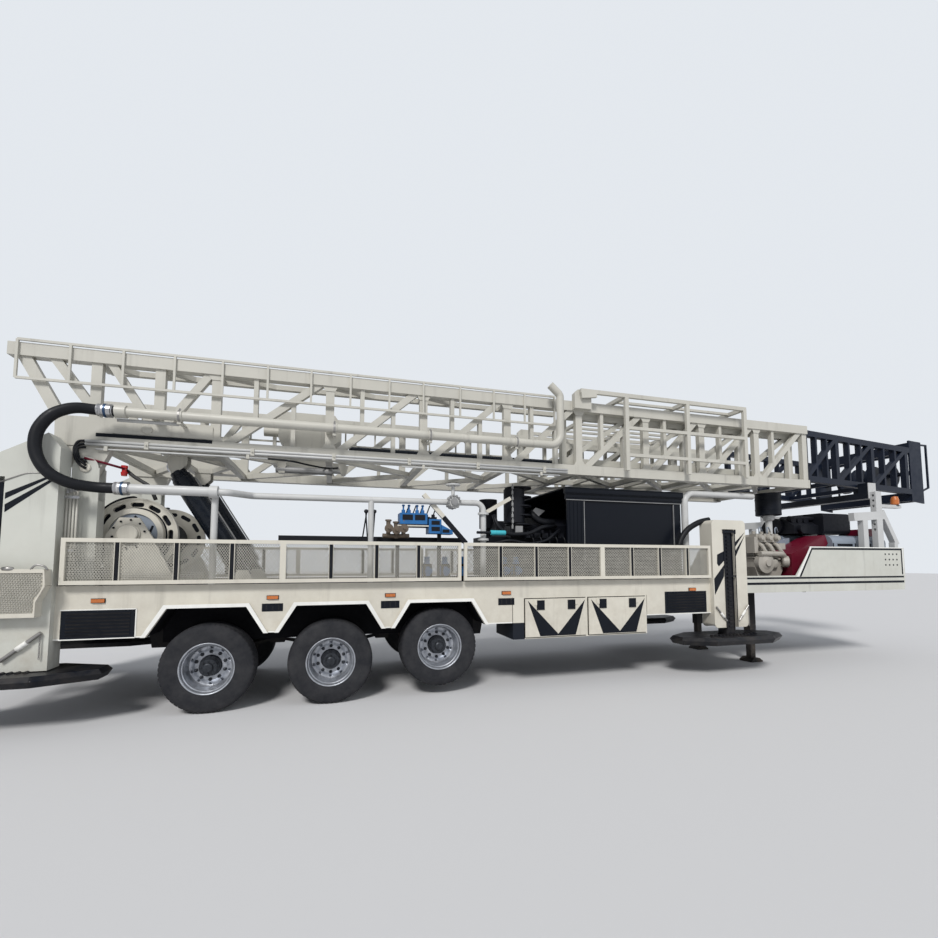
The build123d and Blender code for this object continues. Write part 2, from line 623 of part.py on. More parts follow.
# Standpipe on the mast's right side, with its clamps and gooseneck
STANDPIPE_Y = -1300
STANDPIPE_Z = 3520
PIPE_RADIUS = 57
HOSE_RADIUS = 60
with BuildPart() as standpipe:
    pipe([(-930, STANDPIPE_Y, STANDPIPE_Z), (4640, STANDPIPE_Y, STANDPIPE_Z), (4640, STANDPIPE_Y, 4290),
          (4480, STANDPIPE_Y, 4430)], [170, 90], PIPE_RADIUS)
    round_bar(STANDPIPE_Y, STANDPIPE_Z, 74, -1034, -925)
    for station in (-674, 1330, 2608, 3878):
        plate(rect(station - 40, station + 40, STANDPIPE_Z - 30, STANDPIPE_Z + 30), STANDPIPE_Y, -1075)
finish(standpipe, "standpipe")

# Travelling block, parked in the mast
with BuildPart() as travelling_block:
    block_side = [(600, 3620), (700, 3480), (1260, 3480), (1500, 3640), (1500, 3880), (1400, 4020), (700, 4020),
                  (600, 3920)]
    plate(block_side, -200, 200)
    for y in (-120, 0, 120):
        disc(1050, 3760, 250, y - 45, y + 45)
    round_bar(0, 3750, 70, 380, 610)
    plate(rect(520, 1580, 3232, 3300), -140, 140)
    plate(rect(760, 1340, 3290, 3500), -110, 110)
finish(travelling_block, "travelling_block")


# Upper section of the mast, which runs out forward
def upper_side_rows():
    """Members of one side of the upper section: the straight part, then the tapered tip."""
    low, high = 3380, 4120
    rows = [((UPPER_REAR, low), (UPPER_NECK + 60, low), 100), ((UPPER_REAR, high), (UPPER_NECK + 60, high), 100)]
    rows += [((s, low), (s, high), 80) for s in UPPER_POSTS]
    for s0, s1 in zip(UPPER_POSTS[:-1], UPPER_POSTS[1:]):
        rows.append(((s0 + 40, low), (s1 - 40, high), 70))
    tip_low = [(s, 3365 - (s - UPPER_NECK) * 0.05) for s in TIP_POSTS]
    tip_high = [(s, 4235 - (s - UPPER_NECK) * 0.055) for s in TIP_POSTS]
    rows += [(tip_low[0], (UPPER_TIP + 60, tip_low[-1][1]), 110), (tip_high[0], (UPPER_TIP + 60, tip_high[-1][1]), 110)]
    rows += [(low_end, high_end, 85) for low_end, high_end in zip(tip_low, tip_high)]
    for low_end, high_end in zip(tip_low[:-1], tip_high[1:]):
        rows.append((low_end, high_end, 75))
        for share in (1 / 3, 2 / 3):
            s = low_end[0] + (high_end[0] - low_end[0]) * share
            rows.append(((s, low_end[1]), (s, high_end[1]), 40))
    return rows


with BuildPart() as upper_sides:
    for sign in (-1, 1):
        y_low, y_high = sorted((sign * (UPPER_HALF_WIDTH - 100), sign * UPPER_HALF_WIDTH))
        bars(upper_side_rows(), y_low, y_high)
        plate(rect(CROWN_REAR, CROWN_REAR + 60, 3000, 4400), y_low, y_high, mode=Mode.SUBTRACT)
finish(upper_sides, "upper_sides")

UPPER_FLOOR_HALF = UPPER_HALF_WIDTH - 100
with BuildPart() as upper_floor:
    with BuildSketch(plan(3335)) as bracing:
        stations = UPPER_POSTS + TIP_POSTS[:1]
        for station in stations:
            with Locations((station, 0)):
                Rectangle(80, 2 * UPPER_FLOOR_HALF)
        for s0, s1 in zip(stations[:-1], stations[1:]):
            for sign in (-1, 1):
                with Locations(((s0 + s1) / 2, sign * UPPER_FLOOR_HALF / 2)):
                    turn = degrees(atan2(-sign * UPPER_FLOOR_HALF, s1 - s0))
                    Rectangle(hypot(s1 - s0, UPPER_FLOOR_HALF), 65, rotation=turn)
        with Locations((7400, 0)):
            Rectangle(5200, 2 * UPPER_FLOOR_HALF, mode=Mode.INTERSECT)
    extrude(bracing.sketch, amount=60)
    for station in TIP_POSTS[1:-1]:
        z_mid = 3365 - (station - UPPER_NECK) * 0.05
        plate(rect(station - 40, station + 40, z_mid - 40, z_mid + 40), -UPPER_FLOOR_HALF, UPPER_FLOOR_HALF)
finish(upper_floor, "upper_floor")

# Crown: side cheeks, cross beams, sheaves and the tip's bumper frame
with BuildPart() as crown:
    cheek = [(CROWN_REAR, 3030), (CROWN_FRONT, 2990), (CROWN_FRONT, 4270), (CROWN_REAR, 4290)]
    for sign in (-1, 1):
        y_low, y_high = sorted((sign * (UPPER_HALF_WIDTH - 30), sign * UPPER_HALF_WIDTH))
        plate(cheek, y_low, y_high)
    half = UPPER_HALF_WIDTH - 30
    for z_low, z_high in ((3040, 3220), (4060, 4250)):
        plate(rect(CROWN_REAR, CROWN_REAR + 80, z_low, z_high), -half, half)
        plate(rect(CROWN_FRONT - 80, CROWN_FRONT, z_low, z_high), -half, half)
    disc(CROWN_REAR + 175, 3640, 45, -half, half)
    for y in (-450, -150, 150, 450):
        disc(CROWN_REAR + 175, 3640, 260, y - 35, y + 35)
    for sign in (-1, 1):
        y_low, y_high = sorted((sign * (UPPER_HALF_WIDTH - 60), sign * (UPPER_HALF_WIDTH - 30)))
        bars([((CROWN_FRONT - 40, 4230), (13350, 4230), 30), ((13335, 4240), (13335, 3330), 30),
              ((13345, 3340), (CROWN_FRONT - 20, 3240), 30)], y_low, y_high)
finish(crown, "crown")

# Racking board, folded down along the mast: its side frames, then the fingers between them
BOARD_PIVOT = (5100, 4365)
BOARD_POSTS = [5842, 7011, 8199]
BOARD_INNER_Y = 1200
FINGERS = [-900, -640, -380, -120, 120, 380, 640, 900]
with BuildPart() as board_frames:
    for sign in (-1, 1):
        y_low, y_high = sorted((sign * BOARD_INNER_Y, sign * (BOARD_INNER_Y + 50)))
        rows = [((5030, 4428), (8230, 4428), 62), ((BOARD_PIVOT[0] - 60, BOARD_PIVOT[1]), (5300, 4400), 110)]
        rows += [((s, 3225), (s, 4430), 66) for s in BOARD_POSTS]
        rows += [((BOARD_POSTS[0], z), (BOARD_POSTS[-1], z), 50) for z in (3475, 3910)]
        bars(rows, y_low, y_high)
finish(board_frames, "board_frames")

with BuildPart() as racking_board:
    for station in BOARD_POSTS:
        plate(rect(station - 33, station + 33, 4400, 4459), -BOARD_INNER_Y, BOARD_INNER_Y)
    for y in FINGERS:
        slab(rect(BOARD_POSTS[0], BOARD_POSTS[-1] + 30, y - 22, y + 22), 4415, 4455)
finish(racking_board, "racking_board")

# Raising rams: barrels on the deck, rods up to the mast floor
RAM_LENGTH = hypot(RAM_EYE[0] - RAM_FOOT[0], RAM_EYE[1] - RAM_FOOT[1])
RAM_TURN = atan2(RAM_EYE[1] - RAM_FOOT[1], RAM_EYE[0] - RAM_FOOT[0])
BARREL = (150, 1420)


def along_ram(distance, sign):
    """Plane across a ram, a distance up from its foot pin and facing its eye."""
    x = REAR_AXLE_X + RAM_FOOT[0] + distance * cos(RAM_TURN)
    z = RAM_FOOT[1] + distance * sin(RAM_TURN)
    return Plane(origin=(x, sign * RAM_Y, z), x_dir=(0, 1, 0), z_dir=(cos(RAM_TURN), 0, sin(RAM_TURN)))


with BuildPart() as ram_barrels:
    for sign in (-1, 1):
        with BuildSketch(along_ram(BARREL[0], sign)) as tube:
            Circle(RAM_RADIUS)
        extrude(tube.sketch, amount=BARREL[1] - BARREL[0])
        with BuildSketch(along_ram(0, sign)) as tail:
            Rectangle(110, 150)
        extrude(tail.sketch, amount=BARREL[0] + 5)
        disc(*RAM_FOOT, 85, sign * RAM_Y - 55, sign * RAM_Y + 55)
        with BuildSketch(along_ram(BARREL[0] + 60, sign)) as bore:
            Circle(ROD_RADIUS + 12)
        extrude(bore.sketch, amount=BARREL[1] - BARREL[0], mode=Mode.SUBTRACT)
finish(ram_barrels, "ram_barrels")

with BuildPart() as ram_rods:
    for sign in (-1, 1):
        with BuildSketch(along_ram(270, sign)) as rod:
            Circle(ROD_RADIUS)
        extrude(rod.sketch, amount=RAM_LENGTH - 270 - 40)
        disc(*RAM_EYE, 85, sign * RAM_Y - 55, sign * RAM_Y + 55)
finish(ram_rods, "ram_rods")

# Drawworks: bearing frames, then the drum with its slotted brake flanges
BEARING_Y = (885, 925)
SHAFT_RADIUS = 75
with BuildPart() as drawworks_frame:
    s_mid, z_mid = DRUM_CENTRE
    for sign in (-1, 1):
        y_low, y_high = sorted((sign * BEARING_Y[0], sign * BEARING_Y[1]))
        outline = [(s_mid - 240, DECK_TOP), (s_mid + 540, DECK_TOP), (s_mid + 255, z_mid - 40), (s_mid + 105, z_mid + 200),
                   (s_mid - 105, z_mid + 200), (s_mid - 240, z_mid - 20)]
        plate(outline, y_low, y_high)
        disc(s_mid, z_mid, SHAFT_RADIUS + 6, y_low, y_high, mode=Mode.SUBTRACT)
    plate(rect(s_mid + 300, s_mid + 420, DECK_TOP, DECK_TOP + 120), -BEARING_Y[0], BEARING_Y[0])
    # Feet of the raising rams, tied to the bearing frames by two level rails
    for sign in (-1, 1):
        y_low, y_high = sorted((sign * (RAM_Y - 100), sign * (RAM_Y + 100)))
        plate(rect(s_mid + 380, 420, DECK_TOP, DECK_TOP + 30), y_low, y_high)
        for offset in (-95, 70):
            y_low = sign * RAM_Y + offset
            ear = [(120, DECK_TOP), (400, DECK_TOP), (330, RAM_FOOT[1] + 40), (200, RAM_FOOT[1] + 40)]
            plate(ear, y_low, y_low + 25)
finish(drawworks_frame, "drawworks_frame")

with BuildPart() as drawworks_drum:
    disc(*DRUM_CENTRE, 215, -FLANGE_FACE_Y + 50, FLANGE_FACE_Y - 50)
    disc(*DRUM_CENTRE, SHAFT_RADIUS, -BEARING_Y[1] - 30, BEARING_Y[1] + 30)
    for sign in (-1, 1):
        y_low, y_high = sorted((sign * (FLANGE_FACE_Y - 60), sign * FLANGE_FACE_Y))
        with BuildSketch(side(y_high)) as flange:
            with Locations(DRUM_CENTRE):
                Circle(FLANGE_RADIUS)
                with PolarLocations(FLANGE_RADIUS - 85, 12):
                    SlotOverall(150, 58, rotation=90, mode=Mode.SUBTRACT)
        extrude(flange.sketch, amount=y_high - y_low)
        disc(*DRUM_CENTRE, 330, *sorted((sign * (FLANGE_FACE_Y - 10), sign * (FLANGE_FACE_Y + 70))))
        disc(*DRUM_CENTRE, 110, *sorted((sign * (BEARING_Y[1] + 8), sign * (BEARING_Y[1] + 40))))
finish(drawworks_drum, "drawworks_drum")

# Main engine, a plain heavy block with its air cleaners
with BuildPart() as main_engine:
    half_profile = [(-430, 1700), (-300, 1560), (300, 1560), (430, 1700), (430, 2050), (560, 2380), (330, 2520),
                    (150, 2280), (-150, 2280), (-330, 2520), (-560, 2380), (-430, 2050)]
    run(half_profile, 4150, 5700)
    run(rect(-300, 300, 1560, 2200), 3760, 4160)
    run(rect(-430, 430, DECK_TOP, 1600), 4250, 4420)
    run(rect(-430, 430, DECK_TOP, 1600), 5400, 5570)
    for y in (-640, 640):
        round_post(4150, y, 165, 2400, 2930)
        round_post(4150, y, 70, 2240, 2410)
        run(rect(y - 60, y + 60, 2200, 2300), 4090, 4300)
        low, high = sorted((y, 420 if y > 0 else -420))
        run(rect(low, high, 2200, 2300), 4180, 4300)
finish(main_engine, "main_engine")

# Engine canopy: a black box open at the rear, with a stepped cornice
CANOPY = (4910, 7030)
CANOPY_HALF = 950
CANOPY_TOP = 2960
with BuildPart() as engine_canopy:
    with BuildSketch(section(CANOPY[0])) as wall:
        Polygon(*rect(-CANOPY_HALF, CANOPY_HALF, DECK_TOP, CANOPY_TOP), align=None)
        Polygon(*rect(-CANOPY_HALF + 20, CANOPY_HALF - 20, DECK_TOP - 1, CANOPY_TOP - 20), align=None,
                mode=Mode.SUBTRACT)
    extrude(wall.sketch, amount=CANOPY[1] - CANOPY[0])
    run(rect(-CANOPY_HALF + 10, CANOPY_HALF - 10, DECK_TOP, CANOPY_TOP - 10), CANOPY[1] - 20, CANOPY[1])
    for sign in (-1, 1):
        y_low, y_high = sorted((sign * CANOPY_HALF, sign * (CANOPY_HALF + 18)))
        for s_low, s_high in ((CANOPY[0], CANOPY[0] + 290), (CANOPY[1] - 130, CANOPY[1])):
            plate(rect(s_low, s_high, DECK_TOP, 2770), y_low, y_high)
    for proud, z_low, z_high in ((45, 2860, CANOPY_TOP), (25, 2770, 2860)):
        half = CANOPY_HALF + proud
        slab(rect(CANOPY[0] - proud, CANOPY[1] + proud, -half, half), z_low, z_high)
        slab(rect(CANOPY[0] - proud - 1, CANOPY[1] - 20, -CANOPY_HALF + 20, CANOPY_HALF - 20), z_low - 1,
             min(z_high, CANOPY_TOP - 20), mode=Mode.SUBTRACT)
finish(engine_canopy, "engine_canopy")

# Mud line on the deck: from the hose along the deck edge to a union, then inboard, past a gate valve to
# the riser
MUD_Y = -1310
MUD_Z = 2625
MUD_UNION = 20
INBOARD_Y = -1000
INBOARD_RADIUS = 42
VALVE_STATION = 3060
RISER_STATION = 3520
with BuildPart() as mud_line:
    round_bar(MUD_Y, MUD_Z, PIPE_RADIUS, -900, MUD_UNION)
    for s_low, s_high in ((-963, -865), (MUD_UNION - 45, MUD_UNION + 45)):
        round_bar(MUD_Y, MUD_Z, 74, s_low, s_high)
    pipe([(MUD_UNION, MUD_Y, MUD_Z), (170, MUD_Y, MUD_Z), (400, INBOARD_Y, 2635), (RISER_STATION, INBOARD_Y, 2650),
          (RISER_STATION, INBOARD_Y, DECK_TOP)], [90, 90, 120], INBOARD_RADIUS)
    for station, y, top in ((MUD_UNION, -1245, MUD_Z), (1900, INBOARD_Y, 2640)):
        round_post(station, y, 38, DECK_TOP, top)
    # Gate valve with its bonnet and hand wheel, and the riser's flanges
    disc(VALVE_STATION, 2648, 95, INBOARD_Y - 70, INBOARD_Y + 70)
    round_post(VALVE_STATION, INBOARD_Y, 26, 2730, 2900)
    round_post(VALVE_STATION, INBOARD_Y, 105, 2892, 2912)
    for z_low, radius in ((DECK_TOP, 92), (2100, 80), (2480, 80)):
        round_post(RISER_STATION, INBOARD_Y, radius, z_low, z_low + 30)
finish(mud_line, "mud_line")

# Control stand: a bank of valves on two posts, and a lower bank on the deck edge
BANK_STATIONS = [2390, 2490, 2590, 2690, 2790]
LOW_BANK_STATIONS = [2650, 2900, 3150, 3780, 3960]
with BuildPart() as control_stand:
    for station in (2280, 2880):
        plate(rect(station - 25, station + 25, DECK_TOP, 2300), -925, -875)
    plate(rect(2250, 2910, 2280, 2310), -1000, -800)
    for station in BANK_STATIONS:
        plate(rect(station - 38, station + 38, 2310, 2430), -980, -820)
        round_post(station, -900, 26, 2425, 2470)
        plate([(station - 8, 2460), (station + 8, 2460), (station + 60, 2600), (station + 44, 2600)], -908, -892)
    plate(rect(2500, 4060, DECK_TOP, 1590), -1240, -1100)
    for station in LOW_BANK_STATIONS:
        plate(rect(station - 60, station + 60, 1590, 1760), -1230, -1110)
        round_post(station, -1170, 34, 1755, 1850)
finish(control_stand, "control_stand")

# Exhaust: riser at the canopy's front corner, then an open level run under the mast
EXHAUST_Y = -930
EXHAUST_Z = 2960
with BuildPart() as exhaust_pipe:
    pipe([(7150, EXHAUST_Y, DECK_TOP), (7150, EXHAUST_Y, EXHAUST_Z), (8620, EXHAUST_Y, EXHAUST_Z)], [170], 55)
    round_bar(EXHAUST_Y, EXHAUST_Z, 47, 8420, 8621, mode=Mode.SUBTRACT)
    round_post(7150, EXHAUST_Y, 90, DECK_TOP, DECK_TOP + 20)
finish(exhaust_pipe, "exhaust_pipe")

# Front mast rest: posts with a row of pin holes, sloping ties and braces on each side, and a cross beam
REST_Y = (1150, 1250)
REST_STATION = 11300
PIN_HOLES = [2400, 2500, 2600, 2700, 2850, 2950, 3050]
with BuildPart() as front_mast_rest:
    for sign in (-1, 1):
        y_low, y_high = sorted(sign * y for y in REST_Y)
        bars([((REST_STATION, DECK_TOP), (REST_STATION, 3120), 150), ((10920, DECK_TOP), (10920, 2640), 120),
              ((10640, 2622), (11420, 2675), 150), ((11390, 2750), (11745, 2120), 90),
              ((REST_STATION, 2850), (11900, 2850), 60),
              ((11695, 2160), (11695, DECK_TOP), 90)], y_low, y_high)
        for z in PIN_HOLES:
            round_bar(sign * sum(REST_Y) / 2, z, 24, REST_STATION - 76, REST_STATION - 20, mode=Mode.SUBTRACT)
    plate(rect(11200, 11400, 3000, 3120), -REST_Y[0], REST_Y[0])
    for sign in (-1, 1):
        y_low, y_high = sorted((sign * 965, sign * 1150))
        plate([(11200, 3110), (11400, 3110), (11400, 3300), (11200, 3300)], y_low, y_high)
        y_low, y_high = sorted((sign * 850, sign * 930))
        plate(rect(11240, 11360, 3110, 3215), y_low, y_high)
finish(front_mast_rest, "front_mast_rest")

# Deck engine: crankcase, finned barrels with rocker covers, outlet stub, stack and air cleaner
ENGINE_Y = (-860, -430)
FIN_PITCH = 48
BARREL_STATIONS = [8800, 8985, 9170]
STACK_STATION = 9310
with BuildPart() as deck_engine:
    plate([(8690, 1700), (8760, DECK_TOP), (9260, DECK_TOP), (9330, 1640), (9330, 1800), (8690, 1800)], *ENGINE_Y)
    plate(rect(8720, 9260, 1790, 2180), ENGINE_Y[0] + 60, ENGINE_Y[1] - 60)
    for row in range(8):
        z_low = 1815 + row * FIN_PITCH
        plate(rect(8700, 9285, z_low, z_low + 16), ENGINE_Y[0] + 20, ENGINE_Y[1] - 20)
    for station in BARREL_STATIONS:
        disc(station, 2215, 78, ENGINE_Y[0] + 50, ENGINE_Y[1] - 50)
        round_post(station, -760, 30, 2260, 2350)
    round_bar(-700, 1790, 105, 9300, 9380)
    round_bar(-700, 1790, 70, 9330, 9381, mode=Mode.SUBTRACT)
    plate(rect(9240, STACK_STATION + 60, 2160, 2230), -700, -580)
    round_post(STACK_STATION, -640, 55, 2200, 2600)
    round_post(STACK_STATION, -640, 90, 2580, 2680)
    round_post(STACK_STATION, -640, 210, 2670, 3080)
finish(deck_engine, "deck_engine")

# Sloping drive guard beside the deck engine, and the hood over the front end of the tank
HULL_TOP = 2330
FRONT_HULL_TOP = 2290
FRONT_HULL = (10300, 11680)
with BuildPart() as drive_guard:
    plate([(9390, DECK_TOP), (9740, DECK_TOP), (10290, 2135), (10230, 2290), (9390, 1935)], -1000, -520)
    plate([(11340, FRONT_HULL_TOP), (FRONT_HULL[1] + 5, FRONT_HULL_TOP), (FRONT_HULL[1] + 5, DECK_TOP),
           (11745, DECK_TOP), (11745, 2200), (11690, 2445), (11340, 2430)], -920, -540)
finish(drive_guard, "drive_guard")

# Rounded tank housing on the gooseneck: a sloping shroud, the main hull and a longer, lower one beside it
with BuildPart() as tank_housing:
    plate([(9560, DECK_TOP), (9990, DECK_TOP), (9990, 2260), (9560, 2170)], -480, 900)
    with BuildSketch(section(9980)) as hull:
        Polygon(*rect(-380, 1060, DECK_TOP, HULL_TOP), align=None)
        fillet(hull.vertices().group_by(Axis.Z)[-1], radius=150)
    extrude(hull.sketch, amount=860)
    with BuildSketch(section(FRONT_HULL[0])) as front_hull:
        Polygon(*rect(-1080, -380, DECK_TOP, FRONT_HULL_TOP), align=None)
        fillet(front_hull.vertices().group_by(Axis.Z)[-1], radius=150)
    extrude(front_hull.sketch, amount=FRONT_HULL[1] - FRONT_HULL[0])
finish(tank_housing, "tank_housing")

# Power unit on the tank housing: a cooler box with rounded corners, and its engine behind it
COOLER = (10610, 11320)
COOLER_Y = (-700, 250)
with BuildPart() as power_unit:
    with BuildSketch(section(COOLER[0])) as cooler:
        Polygon(*rect(*COOLER_Y, 2340, 2750), align=None)
        fillet(cooler.vertices().group_by(Axis.Z)[-1], radius=70)
    extrude(cooler.sketch, amount=COOLER[1] - COOLER[0])
    run([(-600, 2345), (150, 2345), (150, 2480), (20, 2640), (-380, 2640), (-600, 2500)], 9980, COOLER[0] + 5)
    for station in (10080, 10240, 10400):
        disc(station, 2600, 62, -520, -40)
    round_bar(-480, 2650, 42, 10000, COOLER[0] + 5)
    disc(10130, 2430, 85, -680, -590)
    round_bar(-220, 2500, 158, 9930, 9985)
    for station in (10640, 11220):
        run(rect(-640, -540, FRONT_HULL_TOP, 2345), station, station + 70)
    run(rect(-140, 0, HULL_TOP, 2350), 10100, 10300)
finish(power_unit, "power_unit")

# Rear mesh guards outside the jack housings, each ending in a deep post with an offset
GUARD_REAR = -2640
GUARD_POST = [(-1585, 1206), (-1585, 1366), (-1510, 1534), (-1525, 1707)]
GUARD_Y = (1470, 1510)
with BuildPart() as rear_guards:
    for sign in (-1, 1):
        y_low, y_high = sorted(sign * y for y in GUARD_Y)
        bars([((GUARD_REAR, 1228), (-1590, 1228), 44), ((GUARD_REAR, 1690), (-1530, 1690), 40),
              ((GUARD_REAR + 22, 1206), (GUARD_REAR + 22, 1710), 44)], y_low, y_high)
        y_mid = sign * sum(GUARD_Y) / 2
        plate([(GUARD_REAR + 10, 1215), (-1590, 1215), (-1590, 1370), (-1515, 1540), (-1530, 1700),
               (GUARD_REAR + 10, 1700)], y_mid - 3, y_mid + 3)
        y_low, y_high = sorted((sign * COLUMN_FACE_Y, sign * GUARD_Y[1]))
        bars([(start, end, 14) for start, end in zip(GUARD_POST[:-1], GUARD_POST[1:])], y_low, y_high)
        y_low, y_high = sorted((sign * COLUMN_FACE_Y, sign * GUARD_Y[0]))
        for z_low in (1210, 1660):
            plate(rect(GUARD_REAR + 5, GUARD_REAR + 45, z_low, z_low + 50), y_low, y_high)
finish(rear_guards, "rear_guards")

# Amber side lamps along the skirts and neck, and the beacon on the front rest
LAMP_STATIONS = [-1100, 710, 2140, 3760, 6920]
LAMP_Z = 1355
with BuildPart() as amber_lamps:
    for sign in (-1, 1):
        for station in LAMP_STATIONS:
            disc(station, LAMP_Z, 38, *sorted((sign * SKIRT_Y, sign * (SKIRT_Y + 22))))
    round_post(11810, -1200, 70, 2880, 3060)
finish(amber_lamps, "amber_lamps")

# Rear lamp bar, on two brackets down from the frame's ends
LAMP_BAR = (FRAME_REAR - 60, FRAME_REAR)
with BuildPart() as rear_lamp_bar:
    run(rect(-1100, 1100, 760, 900), *LAMP_BAR)
    for sign in (-1, 1):
        y_low, y_high = sorted((sign * (BEAM_Y - 90), sign * (BEAM_Y + 90)))
        plate(rect(FRAME_REAR - 20, FRAME_REAR, 890, FRAME_BOTTOM + 200), y_low, y_high)
        for y in (700, 830, 960):
            round_bar(sign * y, 830, 52, LAMP_BAR[0] - 30, LAMP_BAR[0] + 5)
finish(rear_lamp_bar, "rear_lamp_bar")

# Mud hose that loops round the mast hinge, as straight runs joined by arcs
HOSE = [
    # station, Y, height
    (-1034, -1300, 3520),
    (-1215, -1300, 3520),
    (-1400, -1385, 3512),
    (-1572, -1470, 3395),
    (-1684, -1490, 3190),
    (-1684, -1490, 2955),
    (-1572, -1488, 2745),
    (-1380, -1418, 2640),
    (-1165, -1310, 2625),
    (-963, -1310, 2625),
]


def hose_radii(points):
    """Bend radius at each inner point: 0.45 of the shorter run over the tangent of half the turn."""
    radii = []
    for before, here, after in zip(points[:-2], points[1:-1], points[2:]):
        a = Vector(*here) - Vector(*before)
        b = Vector(*after) - Vector(*here)
        half_turn = radians(a.get_angle(b)) / 2
        radii.append(0.45 * min(a.length, b.length) * cos(half_turn) / sin(half_turn))
    return radii


with BuildPart() as mud_hose:
    radii = hose_radii(HOSE)
    pipe(HOSE, radii, HOSE_RADIUS)
finish(mud_hose, "mud_hose")
print("hose radii", [round(r) for r in radii])
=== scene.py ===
import math

import bmesh
import bpy
import numpy as np
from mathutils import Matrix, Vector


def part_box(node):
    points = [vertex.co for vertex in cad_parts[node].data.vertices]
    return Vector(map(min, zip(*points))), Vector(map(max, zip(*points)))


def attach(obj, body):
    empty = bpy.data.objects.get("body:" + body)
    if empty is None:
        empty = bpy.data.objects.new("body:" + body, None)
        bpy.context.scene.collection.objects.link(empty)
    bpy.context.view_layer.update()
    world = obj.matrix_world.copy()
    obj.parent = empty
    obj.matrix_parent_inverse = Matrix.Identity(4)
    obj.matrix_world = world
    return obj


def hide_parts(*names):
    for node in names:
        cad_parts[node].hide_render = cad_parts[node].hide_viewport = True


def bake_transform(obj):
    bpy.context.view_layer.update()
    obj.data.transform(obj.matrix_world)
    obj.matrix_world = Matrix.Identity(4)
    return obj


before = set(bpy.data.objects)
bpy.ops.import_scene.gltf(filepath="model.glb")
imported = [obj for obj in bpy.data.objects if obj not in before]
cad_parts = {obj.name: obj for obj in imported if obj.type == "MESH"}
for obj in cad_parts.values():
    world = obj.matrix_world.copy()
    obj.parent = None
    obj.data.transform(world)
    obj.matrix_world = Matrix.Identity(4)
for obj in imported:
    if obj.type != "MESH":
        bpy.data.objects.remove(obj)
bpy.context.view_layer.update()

# Places along the rig are stations: metres forward of the rearmost axle, whose place the frame gives.
AXLE_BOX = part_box("wheel_rear_right")
REAR_AXLE_X = round((AXLE_BOX[0].x + AXLE_BOX[1].x) / 2, 4)
SIDES = {"right": -1.0, "left": 1.0}
BOTH = tuple(SIDES.values())
ALONG, LEFT, RIGHT, UP = (1, 0, 0), (0, 1, 0), (0, -1, 0), (0, 0, 1)

# Camera
CAMERA_STATION = 1.387
CAMERA_Y = -7.546
CAMERA_Z = 1.78
CAMERA_TURN = 16.306
CAMERA_RISE = 4.198
LENS = 18.04
SHIFT_Y = 59 / 938

scene = bpy.context.scene
camera = bpy.data.objects.new("camera", bpy.data.cameras.new("camera"))
camera.data.lens = LENS
camera.data.sensor_width = 36.0
camera.data.shift_y = SHIFT_Y
camera.data.clip_end = 500.0
camera.location = (REAR_AXLE_X + CAMERA_STATION, CAMERA_Y, CAMERA_Z)
camera.rotation_euler = (math.radians(90 + CAMERA_RISE), 0, math.radians(-CAMERA_TURN))
scene.collection.objects.link(camera)
scene.camera = camera
scene.view_settings.view_transform = "Standard"


def at(points):
    """Points given as station, Y and height, moved into the row frame."""
    moved = np.array(points, float)
    moved[..., 0] += REAR_AXLE_X
    return moved


# Materials.  Every pattern reads Object coordinates, which are the row frame's.
class Graph:
    """A new material: its principled shader, its node tree and its object coordinates."""

    def __init__(self, name):
        self.material = bpy.data.materials.new(name)
        self.material.use_nodes = True
        self.tree = self.material.node_tree
        self.where = self.node("TexCoord", {}).outputs["Object"]

    def put(self, socket, value):
        """A socket is linked to another one, or gets a value of its own."""
        if isinstance(value, bpy.types.NodeSocket):
            self.tree.links.new(value, socket)
        else:
            socket.default_value = value

    def node(self, kind, inputs):
        """A new node of a kind with its inputs."""
        node = self.tree.nodes.new("ShaderNode" + kind)
        for socket, value in inputs.items():
            self.put(node.inputs[socket], value)
        return node

    def axis(self, name):
        """One of the object coordinates."""
        return self.node("SeparateXYZ", {"Vector": self.where}).outputs[name]

    def noise(self, scale, detail=4.0, rough=0.55, stretch=None):
        """Noise over the object coordinates, stretched along an axis if asked."""
        where = self.where
        if stretch:
            where = self.node("Mapping", {"Vector": where, "Scale": stretch}).outputs["Vector"]
        inputs = {"Vector": where, "Scale": scale, "Detail": detail, "Roughness": rough}
        return self.node("TexNoise", inputs).outputs["Fac"]

    def span(self, value, low, high, to_low=0.0, to_high=1.0):
        """A value between two limits, mapped to between two others and clamped."""
        inputs = {"Value": value, "From Min": low, "From Max": high, "To Min": to_low, "To Max": to_high}
        return self.node("MapRange", inputs).outputs["Result"]

    def times(self, a, b):
        """The product of two values."""
        node = self.node("Math", {0: a, 1: b})
        node.operation = "MULTIPLY"
        return node.outputs[0]

    def mix(self, share, first, second):
        """A mix of two colours, each a tuple or a socket."""
        first, second = ((*colour, 1.0) if isinstance(colour, tuple) else colour for colour in (first, second))
        node = self.node("Mix", {0: share, 6: first, 7: second})
        node.data_type = "RGBA"
        return node.outputs[2]

    def finish(self, tone, gloss, grain, strength=0.06, distance=0.004, metal=0.0, shine=0.3):
        """The shader's colour, roughness, metal and gloss, and fine relief on its normal."""
        bump = self.node("Bump", {"Height": grain, "Strength": strength, "Distance": distance})
        inputs = {"Base Color": tone, "Roughness": gloss, "Metallic": metal, "Specular IOR Level": shine,
                  "Normal": bump.outputs["Normal"]}
        for socket, value in inputs.items():
            self.put(self.tree.nodes["Principled BSDF"].inputs[socket], value)
        return self.material


DUST = (0.3, 0.25, 0.19)
GRIME = (0.09, 0.08, 0.07)


def darker(colour, share=0.9):
    """A colour times a share of its own."""
    return tuple(c * share for c in colour)


